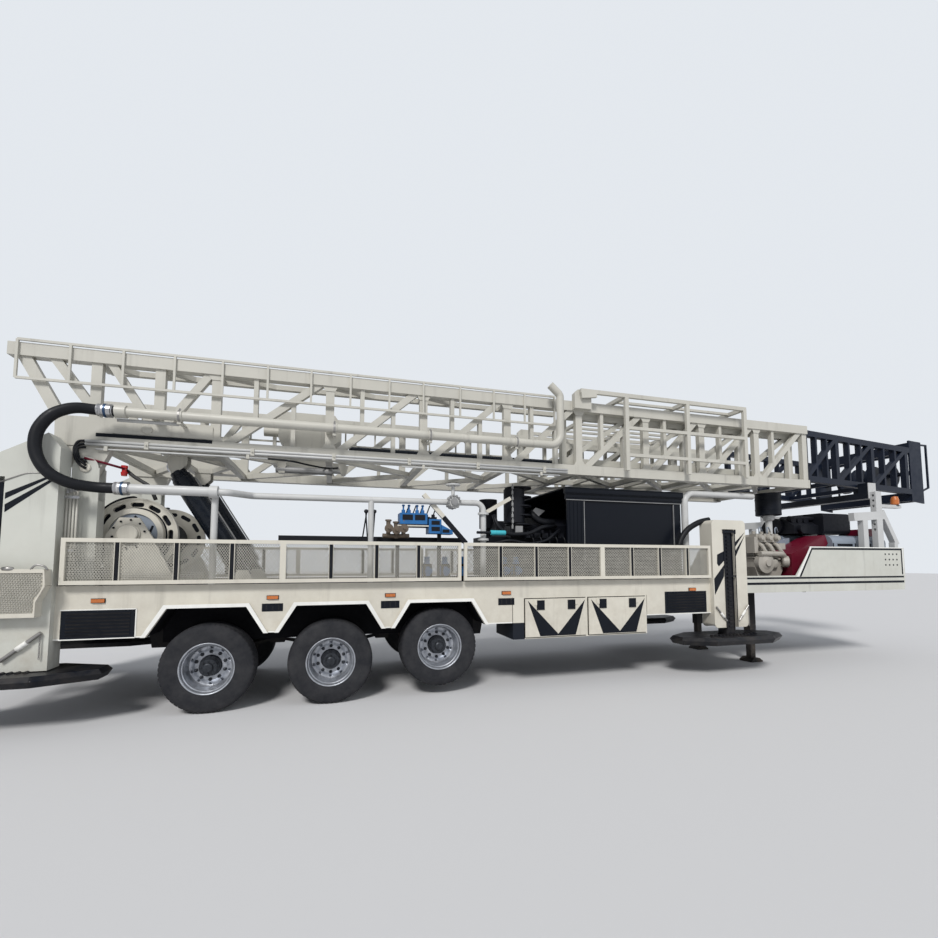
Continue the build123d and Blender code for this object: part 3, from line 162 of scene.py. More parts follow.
def paint(name, colour, roughness=0.42, dust=0.35, streak=0.3, low=0.6, high=2.2, shine=0.5):
    """Painted metal: faint mottling, rain streaks that run down, and road dust that fades with height."""
    g = Graph(name)
    tone = g.mix(g.span(g.noise(1.7, 5.0), 0.35, 0.7), darker(colour), colour)
    runs = g.span(g.noise(3.0, 6.0, 0.6, (2.2, 2.2, 0.16)), 0.56, 0.78)
    tone = g.mix(g.times(runs, streak), tone, GRIME)
    near_ground = g.span(g.axis("Z"), high, low)
    patches = g.span(g.noise(4.5, 6.0, 0.7), 0.35, 0.75)
    tone = g.mix(g.times(g.times(near_ground, patches), dust), tone, DUST)
    gloss = g.span(g.noise(9.0, 3.0), 0.3, 0.7, roughness - 0.06, roughness + 0.12)
    return g.finish(tone, gloss, g.noise(60.0, 2.0), shine=shine)


def plain(name, colour, roughness=0.5, metal=0.0, scale=8.0, depth=0.12, strength=0.08, shine=0.5):
    """A plain finish with a little unevenness of tone, gloss and surface."""
    g = Graph(name)
    light = tuple(min(1.0, c) for c in darker(colour, 1 + depth))
    tone = g.mix(g.span(g.noise(scale, 5.0), 0.3, 0.7), darker(colour, 1 - depth), light)
    gloss = g.span(g.noise(scale * 2.3, 3.0), 0.3, 0.7, max(0.04, roughness - 0.07), roughness + 0.1)
    return g.finish(tone, gloss, g.noise(scale * 9, 2.0), strength, 0.003, metal, shine)


def zoned_paint(name, colours, zoned, zones, edge=0.002, gloss=0.38):
    """One paint, and another one inside zones, each mottled between two tones: a zone is a list of axis, low
    and high that all hold."""
    g = Graph(name)
    mottle = g.span(g.noise(1.7, 5.0), 0.35, 0.7)
    tone, other = g.mix(mottle, *colours), g.mix(mottle, *zoned)
    for zone in zones:
        inside = 1.0
        for axis, low, high in zone:
            place = g.axis(axis)
            above, below = g.span(place, low - edge, low + edge), g.span(place, high - edge, high + edge, 1.0, 0.0)
            inside = g.times(g.times(above, below), inside)
        tone = g.mix(inside, tone, other)
    return g.finish(tone, g.span(mottle, 0.0, 1.0, gloss, gloss + 0.14), g.noise(60.0, 2.0))


def tyre_rubber():
    """Worn tyre rubber: grey dust in patches over near-black."""
    g = Graph("tyre rubber")
    dusty = g.span(g.noise(5.0, 6.0, 0.65), 0.32, 0.72)
    tone = g.mix(dusty, (0.012, 0.013, 0.017), (0.036, 0.036, 0.039))
    return g.finish(tone, 0.82, g.noise(90.0, 3.0), 0.25, 0.003)


CREAM_TONE = (0.665, 0.635, 0.555)
# The mast rest's white, darkened to grey as painted shade
SHADED_REST_TONE = (0.54, 0.545, 0.545)
NEAR_BLACK = (0.006, 0.009, 0.016)
CREAM = paint("cream paint", CREAM_TONE, dust=0.45, streak=0.28)
# A darker, bluer copy of the cream: painted shade under the mast, for the housings, neck panels and pedestal
SHADED_CREAM = paint("shaded cream paint", (0.585, 0.59, 0.54), dust=0.45, streak=0.28)
MAST_CREAM = paint("mast cream paint", (0.54, 0.525, 0.47), dust=0.2, streak=0.34, low=0.0, high=0.5)
# A dirty beige for the deck engine, darkened also as painted shade among its parts
WORN_SHADED_CREAM = paint("worn cream paint with painted shade", (0.4, 0.375, 0.335), dust=0.5, streak=0.35)
WHITE = paint("white trim paint", (0.86, 0.86, 0.83), dust=0.25, streak=0.12)
PIPE_WHITE = paint("white pipe paint", (0.56, 0.565, 0.56), dust=0.25, streak=0.2)
BLACK = paint("black paint", (0.005, 0.007, 0.012), 0.34, 0.12, 0.0, shine=0.2)
STRIPE = plain("black stripe paint", (0.004, 0.006, 0.011), 0.45, shine=0.2)
MAST_BLACK = paint("mast tip paint", (0.007, 0.012, 0.026), 0.4, 0.1, 0.0, shine=0.25)
MESH_CREAM = plain("mesh cream paint", (0.43, 0.415, 0.37))
UNDER = paint("underframe paint", (0.01, 0.011, 0.015), 0.62, 0.35, 0.0, 0.1, 1.2, 0.2)
DECK = paint("deck paint", (0.06, 0.06, 0.062), 0.65, 0.4, 0.0, shine=0.3)
MAROON = paint("maroon paint", (0.14, 0.006, 0.022), 0.33, 0.15, 0.1, shine=0.3)
GREY = paint("grey paint", (0.25, 0.29, 0.35), 0.42, 0.15, 0.12)
ENGINE = plain("engine black", (0.006, 0.007, 0.011), strength=0.2, shine=0.25)
BARREL_BLACK = plain("ram black", (0.005, 0.008, 0.014), 0.26, shine=0.3)
CHROME = plain("ram chrome", (0.72, 0.72, 0.74), 0.12, 1.0, depth=0.03)
RIM = plain("rim silver", (0.44, 0.46, 0.5), 0.36, 0.75, 14.0, 0.22)
HUB = plain("hub grey", (0.036, 0.04, 0.048), 0.42, 0.6, 20.0, 0.3)
STEEL = plain("bare steel", (0.36, 0.35, 0.34), 0.42, 0.9)
ZINC = plain("zinc plate", (0.52, 0.52, 0.53), 0.3, 0.95)
PIPE_GREY = plain("pipe grey", (0.3, 0.3, 0.3), 0.34, 0.35, 3.0, 0.25)
BRONZE = plain("valve bronze", (0.16, 0.125, 0.095), 0.45, 0.5)
BLUE = plain("valve blue", (0.015, 0.13, 0.36), 0.4)
CYAN = plain("canister blue", (0.05, 0.42, 0.5), 0.35)
AMBER = plain("amber lens", (0.5, 0.15, 0.04), 0.25)
RED = plain("red lens", (0.42, 0.012, 0.012), 0.2)
BLUE_BAND = plain("union ring blue", (0.03, 0.065, 0.13), 0.35, 0.4)
HOSE = plain("hose rubber", (0.007, 0.008, 0.011), scale=20.0, shine=0.25)
WIRE = plain("wire rope", (0.06, 0.06, 0.06), metal=0.6)
LINING = plain("arch lining", (0.004, 0.004, 0.006), 0.7, shine=0.15)
RUBBER = tyre_rubber()
# The upper mast is cream up to a station and black ahead of it
UPPER_PAINT = zoned_paint(
    "upper mast paint", ((0.44, 0.43, 0.385), (0.51, 0.5, 0.45)), ((0.005, 0.009, 0.02), (0.008, 0.013, 0.028)),
    [[("X", REAR_AXLE_X + 9.88, 99.0)]], 0.004, 0.36)
# The mast rest: the grey with painted shade, and black between Y -1.14 and 1.14 from 2.5 to 4 m up
SHADED_REST_PAINT = zoned_paint("rest paint with painted shade", (darker(SHADED_REST_TONE), SHADED_REST_TONE), (NEAR_BLACK, NEAR_BLACK),
                         [[("Y", -1.14, 1.14), ("Z", 2.5, 4.0)]])
# Lockers in cream with painted shade in black: the rear-facing end below 0.93 m behind station 4.036, and inside Y
# -1.29 to 1.29 below 1.4 m
LOCKER_PAINT_WITH_SHADE = zoned_paint(
    "locker paint with painted shade", (darker(CREAM_TONE), CREAM_TONE), (NEAR_BLACK, NEAR_BLACK),
    [[("X", -9.0, REAR_AXLE_X + 4.036), ("Z", 0.0, 0.93)], [("Y", -1.29, 1.29), ("Z", 0.0, 1.4)]])

# Finishes of the CAD nodes that stay in sight, by whole name or by its first word
FINISHES = (
    (CREAM, "side_skirts front_jack_columns drawworks_frame drawworks_drum rear_guards walkway locker"),
    # The neck panels, rear jack housings and pedestal take the cream with painted shade
    (SHADED_CREAM, "neck_side_panels rear_jack_housings mast_pedestal"),
    (MAST_CREAM, "mast_sides mast_floor mast_top_flanges side_rail_frames standpipe travelling_block board_frames "
                 "racking_board"),
    (UNDER, "frame_rails cross_members kingpin_plate landing_legs axles rear_lamp_bar"),
    (UPPER_PAINT, "upper_sides upper_floor"), (MAST_BLACK, "crown"), (BARREL_BLACK, "ram_barrels"),
    (CHROME, "ram_rods"), (ENGINE, "main_engine control_stand power_unit"), (BLACK, "engine_canopy jack"),
    # The deck engine's worn cream is darker partly as painted shade
    # The mast rest's paint holds painted shade
    (PIPE_WHITE, "mud_line exhaust_pipe"), (SHADED_REST_PAINT, "front_mast_rest"), (WORN_SHADED_CREAM, "deck_engine"),
    (MAROON, "drive_guard"), (GREY, "tank_housing"), (AMBER, "amber_lamps"), (HOSE, "mud_hose"),
    # The locker boxes' paint holds painted shade in black
    (DECK, "deck_plate"), (LINING, "arch_liners"), (LOCKER_PAINT_WITH_SHADE, "locker_boxes"), (RUBBER, "wheel"),
)
FINISH_OF = {name: material for material, names in FINISHES for name in names.split()}
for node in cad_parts:
    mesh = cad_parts[node].data
    mesh.materials.clear()
    mesh.materials.append(FINISH_OF.get(node) or FINISH_OF[node.split("_")[0]])

# Mesh makers
BLOCK_FACES = np.array([[0, 1, 5, 4], [1, 2, 6, 5], [2, 3, 7, 6], [3, 0, 4, 7], [3, 2, 1, 0], [4, 5, 6, 7]])
BLOCK_RING = np.array([[0, 0], [1, 0], [1, 1], [0, 1]])


def quads(nu, nv, wrap_u=False, wrap_v=False):
    """Faces of a grid of nu by nv points: point (i, j) is number i * nv + j."""
    i, j = np.meshgrid(np.arange(nu - (not wrap_u)), np.arange(nv - (not wrap_v)), indexing="ij")
    k, m = (i + 1) % nu, (j + 1) % nv
    return np.stack([i * nv + j, k * nv + j, k * nv + m, i * nv + m], -1).reshape(-1, 4)


def unit(rows):
    """Rows of vectors, each made one long."""
    return rows / np.linalg.norm(rows, axis=-1, keepdims=True)


def round_turn(steps):
    """Angles spread evenly round a full turn."""
    return np.linspace(0, 2 * np.pi, steps, endpoint=False)


def circle(station, z, radius, count, start=0.0):
    """Stations and heights of points spread evenly round a circle."""
    turn = start + np.arange(count) * 2 * np.pi / count
    return np.column_stack([station + radius * np.cos(turn), z + radius * np.sin(turn)])


def path(points, bend, steps=8):
    """Station, Y and height points joined by straight runs, each corner rounded by a quadratic curve."""
    points = np.array(points, float)
    parts = [points[:1]]
    for before, here, after in zip(points[:-2], points[1:-1], points[2:]):
        back, ahead = before - here, after - here
        start = here + back * min(0.48, bend / np.linalg.norm(back))
        end = here + ahead * min(0.48, bend / np.linalg.norm(ahead))
        t = np.linspace(0, 1, steps)[:, None]
        parts.append((1 - t) ** 2 * start + 2 * t * (1 - t) * here + t**2 * end)
    parts.append(points[-1:])
    return at(np.concatenate(parts))


def piece(name, verts, faces, material, body, smooth, stands_for):
    """A mesh object with its faces turned outwards, that rides on a body and replaces a node if they are named."""
    mesh = bpy.data.meshes.new(name)
    mesh.from_pydata(verts.tolist(), [], faces)
    shell = bmesh.new()
    shell.from_mesh(mesh)
    bmesh.ops.recalc_face_normals(shell, faces=shell.faces)
    shell.to_mesh(mesh)
    shell.free()
    if smooth:
        mesh.shade_smooth()
    mesh.materials.append(material)
    obj = bpy.data.objects.new(name, mesh)
    scene.collection.objects.link(obj)
    if body:
        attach(obj, body)
    if stands_for:
        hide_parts(stands_for)
    return obj


class Batch:
    """Shells gathered into one mesh: arrays of points, and faces that count on from the last."""

    def __init__(self):
        self.points, self.faces, self.count = [], [], 0

    def add(self, verts, faces):
        verts = np.asarray(verts, float).reshape(-1, 3)
        self.points.append(verts)
        self.faces.extend([[int(i) + self.count for i in face] for face in faces])
        self.count += len(verts)
        return self

    def both(self):
        """What is there so far again on the other side."""
        return self.add(np.concatenate(self.points) * (1, -1, 1), self.faces)

    def write(self, name, material, body="chassis", slot=None, smooth=False, stands_for=None):
        return piece(name, np.concatenate(self.points), self.faces, material, body, smooth, stands_for)

    def write_sides(self, name, material, body=None, slot=None, smooth=False, replaces_body=False):
        """The left side's shells as a piece on each side, on that side's body or the chassis.  It may replace the
        node that its body is named after."""
        for side, sign in SIDES.items():
            verts = np.concatenate(self.points) * (1, sign, 1)
            here = f"{body}_{side}" if body else "chassis"
            piece(f"{name}_{side}", verts, self.faces, material, here, smooth, replaces_body and here)

    def blocks(self, verts):
        """Blocks of eight points each: a ring of four, and then the ring opposite."""
        starts = np.arange(0, verts.size // 3, 8)[:, None, None]
        return self.add(verts, (starts + BLOCK_FACES).reshape(-1, 4))

    def boxes(self, *rows):
        """Boxes, each from the station, Y and height of one corner and then of the opposite one."""
        low, high = np.split(at(np.array(rows, float).reshape(-1, 2, 3)), 2, axis=1)
        corner = np.array([[*place, level] for level in (0, 1) for place in BLOCK_RING])
        return self.blocks(low + corner * (high - low))

    def centred(self, stations, half, y, z, y_far, z_far):
        """Boxes that reach half their length either way from each station, between two Y and two heights."""
        return self.boxes(*((s - half, y, z, s + half, y_far, z_far) for s in stations))

    def bars(self, starts, ends, width, depth, face=LEFT):
        """Square-edged bars between two rows of points: width across the face's normal, depth along it."""
        start, end = at(starts).reshape(-1, 1, 3), at(ends).reshape(-1, 1, 3)
        along = unit(end - start)
        across = unit(np.cross(along, np.array(face, float)))
        ring = BLOCK_RING - 0.5
        spread = across * ring[:, :1] * width + np.cross(across, along) * ring[:, 1:] * depth
        return self.blocks(np.concatenate([start + spread, end + spread], 1))

    def rings(self, verts):
        """Rings of points, each joined to the next; the first and the last are closed."""
        count, sides = verts.shape[:2]
        ends = [np.arange(sides), np.arange(sides) + (count - 1) * sides]
        return self.add(verts, [*quads(count, sides, False, True), *ends])

    def tube(self, path, radius, sides=12, up=UP):
        """A circle carried along a path."""
        line = np.asarray(path, float)
        tangent = unit(np.gradient(line, axis=0))
        first = unit(np.cross(tangent, np.array(up, float)))
        turn = round_turn(sides)[:, None]
        out = np.cos(turn) * first[:, None] + np.sin(turn) * np.cross(first, tangent)[:, None]
        return self.rings(line[:, None] + radius * out)

    def line(self, points, bend, radius, sides=12):
        """A round pipe through corner points, bent at each corner."""
        return self.tube(path(points, bend), radius, sides, (0.0, 0.31, 0.95))

    def turned(self, profile, centre, axis, steps=32):
        """A profile of (distance along the axis, radius) turned about an axis through a centre."""
        shape = np.asarray(profile, float)[:, None]
        axis = np.array(axis, float)
        first = unit(np.cross(axis, UP if abs(axis[2]) < 0.9 else ALONG))
        turn = round_turn(steps)[:, None]
        out = np.cos(turn) * first + np.sin(turn) * np.cross(axis, first)
        return self.rings(at(centre) + shape[..., :1] * axis + shape[..., 1:] * out)

    def plate(self, outline, y, y_opposite):
        """An upright plate: a station and height outline between two Y."""
        flat = np.asarray(outline, float)
        count = len(flat)
        verts = [np.insert(flat, 1, depth, axis=1) for depth in (y, y_opposite)]
        i = np.arange(count)
        j = (i + 1) % count
        return self.add(at(np.concatenate(verts)), [*np.stack([i, j, j + count, i + count], 1), i, i + count])

    def bolts(self, places, axis, radius=0.014, height=0.012):
        """Six-sided bolt heads standing along an axis."""
        for place in places:
            self.turned([(0.0, radius), (height, radius), (height * 1.3, radius * 0.75)], place, axis, 6)
        return self

    def band(self, r_low, r_high, y_low, y_high, angles=(0, 360), steps=96):
        """A strip of a ring about the drum: each corner of its section is carried between two angles."""
        turn = np.radians(np.linspace(*angles, steps))[:, None]
        radius = np.array([r_low, r_high, r_high, r_low])
        y = np.broadcast_to([y_low, y_low, y_high, y_high], (steps, 4))
        return self.rings(at(np.stack([DRUM[0] + radius * np.cos(turn), y, DRUM[1] + radius * np.sin(turn)], -1)))

    def mesh(self, s_low, s_high, z_low, z_high, y):
        """Expanded mesh: two families of straight strands that lean either way, cut off at the panel's edges.
        A strand that starts at foot f rises MESH_RISE for every half MESH_STEP along the rig."""
        slope = MESH_STEP / MESH_RISE
        reach = (z_high - z_low) * slope
        feet = np.arange(s_low - reach + MESH_STEP / 2, s_high, MESH_STEP)
        begin, end = np.maximum(feet, s_low), np.minimum(feet + reach, s_high)
        keep = end - begin > 0.01
        flip, middle = np.array([-1.0, 1.0, 1.0]), np.array([s_low + s_high, 0, 0])
        starts, ends = (np.column_stack([s, np.full(len(s), y), z_low + (s - feet[keep]) / slope])
                        for s in (begin[keep], end[keep]))
        self.bars(starts, ends, STRAND, STRAND)
        return self.bars(starts * flip + middle, ends * flip + middle, STRAND, STRAND)


# Wheels
TYRE_RADIUS = 0.525
TYRE_MID_Y = 1.0575
TYRE_HALF = 0.1925
BEAD_RADIUS = 0.29
TREAD_HALF = 0.15
GROOVE_DEPTH = 0.013
GROOVES = (-0.09, -0.031, 0.031, 0.09)
TREAD_BLOCKS = 54
STUDS = 10
STUD_CIRCLE = 0.1675
HAND_HOLE_CIRCLE = 0.217
HAND_HOLE_EDGE = (0.012, 0.016)
HAND_HOLE_DEPTH = 0.045
CAP_BOLT_CIRCLE = 0.08
# Profiles: distance out from the tyre's middle, radius
RIM_PROFILE = [
    (0.17, 0.296), (0.186, 0.304), (0.19, 0.3), (0.187, 0.29), (0.17, 0.281), (0.15, 0.277), (0.138, 0.264),
    (0.0, 0.256), (-0.02, 0.25), (-0.032, 0.238), (-0.036, 0.225), (-0.036, 0.205), (-0.032, 0.188),
    (-0.028, 0.176), (-0.028, 0.108),
]
NUT = [(-0.03, 0.0235), (-0.024, 0.0235), (-0.022, 0.019), (0.004, 0.018), (0.006, 0.011), (0.022, 0.011),
       (0.023, 0.0085)]
CAP_BOLT = [(0.112, 0.011), (0.126, 0.011), (0.128, 0.008)]
HUB_PROFILE = [
    (-0.032, 0.128), (-0.024, 0.128), (0.0, 0.118), (0.05, 0.114), (0.062, 0.108), (0.098, 0.106), (0.112, 0.098),
    (0.114, 0.058), (0.118, 0.056), (0.142, 0.052), (0.15, 0.04), (0.151, 0.0),
]
BACK_PROFILE = [
    (-0.1795, 0.3), (-0.187, 0.303), (-0.188, 0.292), (-0.165, 0.281), (-0.15, 0.268), (-0.05, 0.262),
    (-0.084, 0.245), (-0.084, 0.19), (-0.07, 0.15), (-0.145, 0.15), (-0.15, 0.14), (-0.15, 0.0),
]


def smooth_step(x, low, high):
    """0 below low and 1 above high, with a cubic between."""
    t = np.clip((x - low) / (high - low), 0, 1)
    return t * t * (3 - 2 * t)


def tyre_grid():
    """A tyre: sidewalls that swell between bead and shoulder, rings on them, and a tread cut by four
    zigzag grooves round it and by short slots at both shoulders.  Angle, radius and distance out."""
    around = round_turn(320)[:, None]
    wall = np.linspace(0, 1, 17)[:-1]
    tread = np.linspace(-1, 1, 61)
    wall_radius = BEAD_RADIUS + (TYRE_RADIUS - 0.022 - BEAD_RADIUS) * wall
    wall_out = TYRE_HALF - 0.022 * (1 - np.sin(np.pi * np.clip(wall * 0.93 + 0.08, 0, 1)) ** 0.7)
    wall_out = wall_out + 0.0022 * (np.abs(wall - 0.28) < 0.03) + 0.0022 * (np.abs(wall - 0.8) < 0.03)
    out = np.concatenate([wall_out, tread[::-1] * (TREAD_HALF + 0.012), -wall_out[::-1]])[None, :]
    radius = np.concatenate([wall_radius, TYRE_RADIUS - 0.01 * tread**4, wall_radius[::-1]])[None, :]
    in_tread = np.concatenate([np.zeros(16), np.ones(61), np.zeros(16)])[None, :]
    zigzag = 0.006 * (2 / np.pi) * np.arcsin(np.sin(around * TREAD_BLOCKS))
    cut = 0.0
    for groove in GROOVES:
        cut = np.maximum(cut, 1 - smooth_step(np.abs(out - groove - zigzag), 0.004, 0.0075))
    slots = smooth_step(np.sin(around * TREAD_BLOCKS), 0.55, 0.85) * smooth_step(np.abs(out), 0.112, 0.126)
    return around, radius - GROOVE_DEPTH * in_tread * np.maximum(cut, 0.55 * slots), out


def rim_grid():
    """The rim and its disc, with ten round hand holes pressed deep into it.  Angle, radius and distance out."""
    around = round_turn(160)[:, None]
    fine = np.concatenate([np.linspace(0, 8, 40), np.linspace(8, 13, 46)[1:], np.linspace(13, 14, 12)[1:]])
    out, radius = (np.interp(fine, range(len(RIM_PROFILE)), column)[None, :] for column in zip(*RIM_PROFILE))
    angle = (around * STUDS / (2 * np.pi)) % 1.0 - 0.5
    arc = angle * 2 * np.pi / STUDS * HAND_HOLE_CIRCLE
    pocket = 1 - smooth_step(np.hypot(arc, radius - HAND_HOLE_CIRCLE), *HAND_HOLE_EDGE)
    return around, radius, out - HAND_HOLE_DEPTH * pocket


TYRE, RIM_AND_DISC = tyre_grid(), rim_grid()


def wheels(place):
    """The tyre, rim, hub and back of the wheels at one axle, in place of their CAD nodes."""
    body = f"wheel_{place}"
    low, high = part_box(f"{body}_left")
    centre = ((low.x + high.x) / 2 - REAR_AXLE_X, TYRE_MID_Y, (low.z + high.z) / 2)
    for name, material, (around, radius, out) in (("tyre", RUBBER, TYRE), ("rim", RIM, RIM_AND_DISC)):
        rows = (radius * np.cos(around), out, radius * np.sin(around))
        points = np.stack(np.broadcast_arrays(*rows), -1)
        shell = Batch().add(at(centre + points), quads(*points.shape[:2], True, False))
        shell.write_sides(f"{name}_{place}", material, body, smooth=True, replaces_body=name == "tyre")
    hub = Batch().turned(HUB_PROFILE, centre, LEFT, 48)
    for s, z in circle(centre[0], centre[2], STUD_CIRCLE, STUDS, math.pi / STUDS):
        hub.turned(NUT, (s, TYRE_MID_Y, z), LEFT, 6)
    for s, z in circle(centre[0], centre[2], CAP_BOLT_CIRCLE, 8):
        hub.turned(CAP_BOLT, (s, TYRE_MID_Y, z), LEFT, 6)
    hub.write_sides(f"wheel_hub_{place}", HUB, body)
    back = Batch().turned(BACK_PROFILE, centre, LEFT, 64)
    back.write_sides(f"wheel_back_{place}", UNDER, body, "bare_steel", smooth=True)


for place in ("rear", "middle", "front"):
    wheels(place)

# Walkways: rails, channel posts whose insides are painted black as shade between light edges, and expanded mesh
WALKWAY_Z = (1.535, 2.05)
WALKWAY_Y = (1.355, 1.395)
RAIL = 0.044
POST = 0.044
MESH_STEP = 0.028
MESH_RISE = 0.04
STRAND = 0.006
WALKWAYS = {
    # stations of the posts; the one listed second is thick and light
    "rear": ([-1.44, -0.913, -0.326, 0.256, 0.822, 1.387, 1.95, 2.496, 3.08], 0.822),
    "front": ([3.12, 3.648, 4.188, 4.717, 5.256, 5.765, 6.263, 6.774, 7.22], 5.256),
}


def walkways(place):
    """The walkway panels at one place, in place of their CAD nodes."""
    body = f"walkway_{place}"
    posts, thick = WALKWAYS[place]
    first, last = posts[0], posts[-1]
    (y_in, y_out), (foot, top) = WALKWAY_Y, WALKWAY_Z
    low, high = foot + RAIL, top - RAIL
    light = Batch()
    light.boxes((first, y_in, foot, last, y_out, low), (first, y_in, high, last, y_out, top),
                (first, y_in, low, first + POST, y_out, high), (last - POST, y_in, low, last, y_out, high))
    thin = [s for s in posts[1:-1] if s != thick]
    light.centred([thick], 0.035, y_in, low, y_out, high)
    light.centred([s + aside for s in thin for aside in (-0.025, 0.025)], 0.003, y_in, low, y_out, high)
    light.write_sides(f"walkway_frame_{place}", CREAM, body, replaces_body=True)
    # Black boxes inside the thin posts' channels: painted shade
    dark = Batch().centred(thin, 0.022, 1.36, low, 1.386, high)
    dark.write_sides(f"walkway_posts_{place}", BLACK, body)
    strands = Batch().mesh(first + POST, last - POST, low, high, y_in + 0.008)
    strands.write_sides(f"walkway_mesh_{place}", MESH_CREAM, body)


for place in WALKWAYS:
    walkways(place)

# Rear mesh guards outside the jack housings, in two panels because their end post is offset
guard = Batch().mesh(-2.618, -1.6, 1.25, 1.42, 1.5).mesh(-2.618, -1.54, 1.42, 1.67, 1.5)
guard.write_sides("rear_guard_mesh", MESH_CREAM)

# Black painted stripes, as skins 1.5 mm thick
SKIN = 0.0015
DOORS = {"rear": (4.04, 5.0), "front": (5.05, 6.03)}
DOOR_Z = (0.725, 1.262)
DOOR_FACE_Y = 1.322
HANDLE_INSET = 0.235
V_STRIPE = [(0.04, 0.955), (0.235, 0.015), (0.82, 0.015), (0.985, 0.95), (0.53, 0.06)]
SKIRT_Y = 1.3
COLUMN_Y = 1.38
STRIPES = [
    # outline, face
    ([(7.353, 1.762), (7.388, 1.716), (7.492, 1.808), (7.492, 1.962), (7.36, 1.906)], COLUMN_Y),
    ([(7.291, 1.262), (7.483, 1.557), (7.492, 1.741), (7.285, 1.519)], COLUMN_Y),
    ([(7.73, 2.032), (7.734, 2.113), (7.938, 2.279)], COLUMN_Y),
    ([(7.721, 1.855), (7.726, 1.964), (7.938, 2.226)], COLUMN_Y),
    ([(-1.967, 2.456), (-1.967, 2.523), (-1.56, 2.742), (-1.56, 2.718)], COLUMN_Y),
    ([(-1.962, 2.313), (-1.965, 2.399), (-1.545, 2.709), (-1.535, 2.686)], COLUMN_Y),
    ([(8.0, 1.5), (8.0, 1.53), (11.76, 1.53), (11.76, 1.5)], SKIRT_Y),
    ([(8.0, 1.405), (8.0, 1.445), (11.76, 1.445), (11.76, 1.405)], SKIRT_Y),
    ([(9.18, 1.535), (9.49, 2.035), (11.745, 2.045), (11.745, 1.56), (11.715, 1.56), (11.715, 2.01),
      (9.508, 2.005), (9.222, 1.535)], SKIRT_Y),
]

# A V on each locker door, and its two handle plates
for place, (s_low, s_high) in DOORS.items():
    width, rise = s_high - s_low, DOOR_Z[1] - DOOR_Z[0]
    outline = [(s_low + a * width, DOOR_Z[0] + b * rise) for a, b in V_STRIPE]
    stripes = Batch().plate(outline, DOOR_FACE_Y, DOOR_FACE_Y + SKIN)
    handles = (s_low + HANDLE_INSET, s_high - HANDLE_INSET)
    stripes.centred(handles, 0.06, DOOR_FACE_Y, 1.105, DOOR_FACE_Y + 0.0103, 1.24)
    stripes.write_sides(f"door_stripes_{place}", STRIPE, f"locker_door_{place}")

trim = Batch()
for outline, face in STRIPES:
    trim.plate(outline, face, face + SKIN)
trim.both().write("painted_stripes", STRIPE)

# White lips round the wheel arches, and a white line along the skirts' lower edge
ARCH = [(-0.62, 0.93), (-0.42, 1.25), (0.42, 1.25), (0.62, 0.93)]
ARCH_LIP = [(-0.67, 0.93), (-0.4515, 1.292), (0.4515, 1.292), (0.67, 0.93)]
LIP_Y = 1.338
AXLES = (0.0, 1.41, 2.82)
SKIRT_LINES = [
    # first station, last station, bottom
    (-1.5, -0.67, 0.931), (0.67, 0.74, 0.931), (2.08, 2.15, 0.931), (3.49, 3.85, 0.931), (6.065, 7.268, 0.971),
]
whites = Batch()
for s in AXLES:
    whites.plate([(s + a, z) for a, z in ARCH_LIP + ARCH[::-1]], LIP_Y, LIP_Y + SKIN)
for s_low, s_high, z in SKIRT_LINES:
    whites.boxes((s_low, SKIRT_Y, z, s_high, SKIRT_Y + 0.003, z + 0.015))
whites.both().write("arch_lips", WHITE)
Batch().boxes((-0.6, 0.79, 0.79, 3.42, 0.796, 1.262)).both().write("arch_inner_walls", LINING)

# Black plates on the skirts: slotted lamp plates, and louvres in place of words
PLATES = [
    # first station, last station, bottom, top
    (-1.44, -0.735, 0.94, 1.25), (6.4, 7.19, 0.99, 1.325),
]
plates, slats = Batch(), Batch()
LAMP_PLATES = (0.71, 2.14, 3.76)
plates.centred(LAMP_PLATES, 0.12, SKIRT_Y, 1.185, SKIRT_Y + 0.004, 1.28)
slots = [s + aside for s in LAMP_PLATES for aside in (-0.07, 0.0, 0.07)]
slats.centred(slots, 0.008, SKIRT_Y + 0.004, 1.2, SKIRT_Y + 0.007, 1.265).both()
for s_low, s_high, z_low, z_high in PLATES:
    plates.boxes((s_low, SKIRT_Y, z_low, s_high, SKIRT_Y + 0.004, z_high))
    rows = [(sign * (SKIRT_Y + 0.009), z) for z in np.linspace(z_low + 0.04, z_high - 0.04, 7) for sign in BOTH]
    slats.bars([(s_low + 0.05, *row) for row in rows], [(s_high - 0.05, *row) for row in rows], 0.02, 0.006,
               (0.0, 1.0, 0.45))
plates.both().write("skirt_plates", STRIPE)
slats.write("skirt_louvres", BLACK)

# Amber side lamps with their dark bases, and the beacon
BEACON = (11.81, -1.2)
LAMPS = (-1.1, *LAMP_PLATES, 6.92)
bases = Batch().centred(LAMPS, 0.07, SKIRT_Y, 1.328, SKIRT_Y + 0.005, 1.379)
lamps = Batch().centred(LAMPS, 0.062, SKIRT_Y + 0.004, 1.334, SKIRT_Y + 0.022, 1.373)
lamps.both().turned([(0.0, 0.055), (0.02, 0.068), (0.1, 0.066), (0.16, 0.05), (0.175, 0.0)], (*BEACON, 2.885), UP)
lamps.write("amber_lenses", AMBER, stands_for="amber_lamps")
bases.both().write("lamp_bases", BLACK)
Batch().turned([(0.0, 0.062), (0.014, 0.07), (0.016, 0.0)], (*BEACON, 2.884), (0, 0, -1), 24).write(
    "beacon_base", BLACK)

# Mud hose: a tube carried round straight runs joined by arcs, from the mast to the chassis
HOSE_RADIUS = 0.06
HOSE_POINTS = [
    # station, Y, height
    (-1.034, -1.3, 3.52), (-1.215, -1.3, 3.52), (-1.4, -1.385, 3.512), (-1.572, -1.47, 3.395),
    (-1.684, -1.49, 3.19), (-1.684, -1.49, 2.955), (-1.572, -1.488, 2.745), (-1.38, -1.418, 2.64),
    (-1.165, -1.31, 2.625), (-0.963, -1.31, 2.625),
]


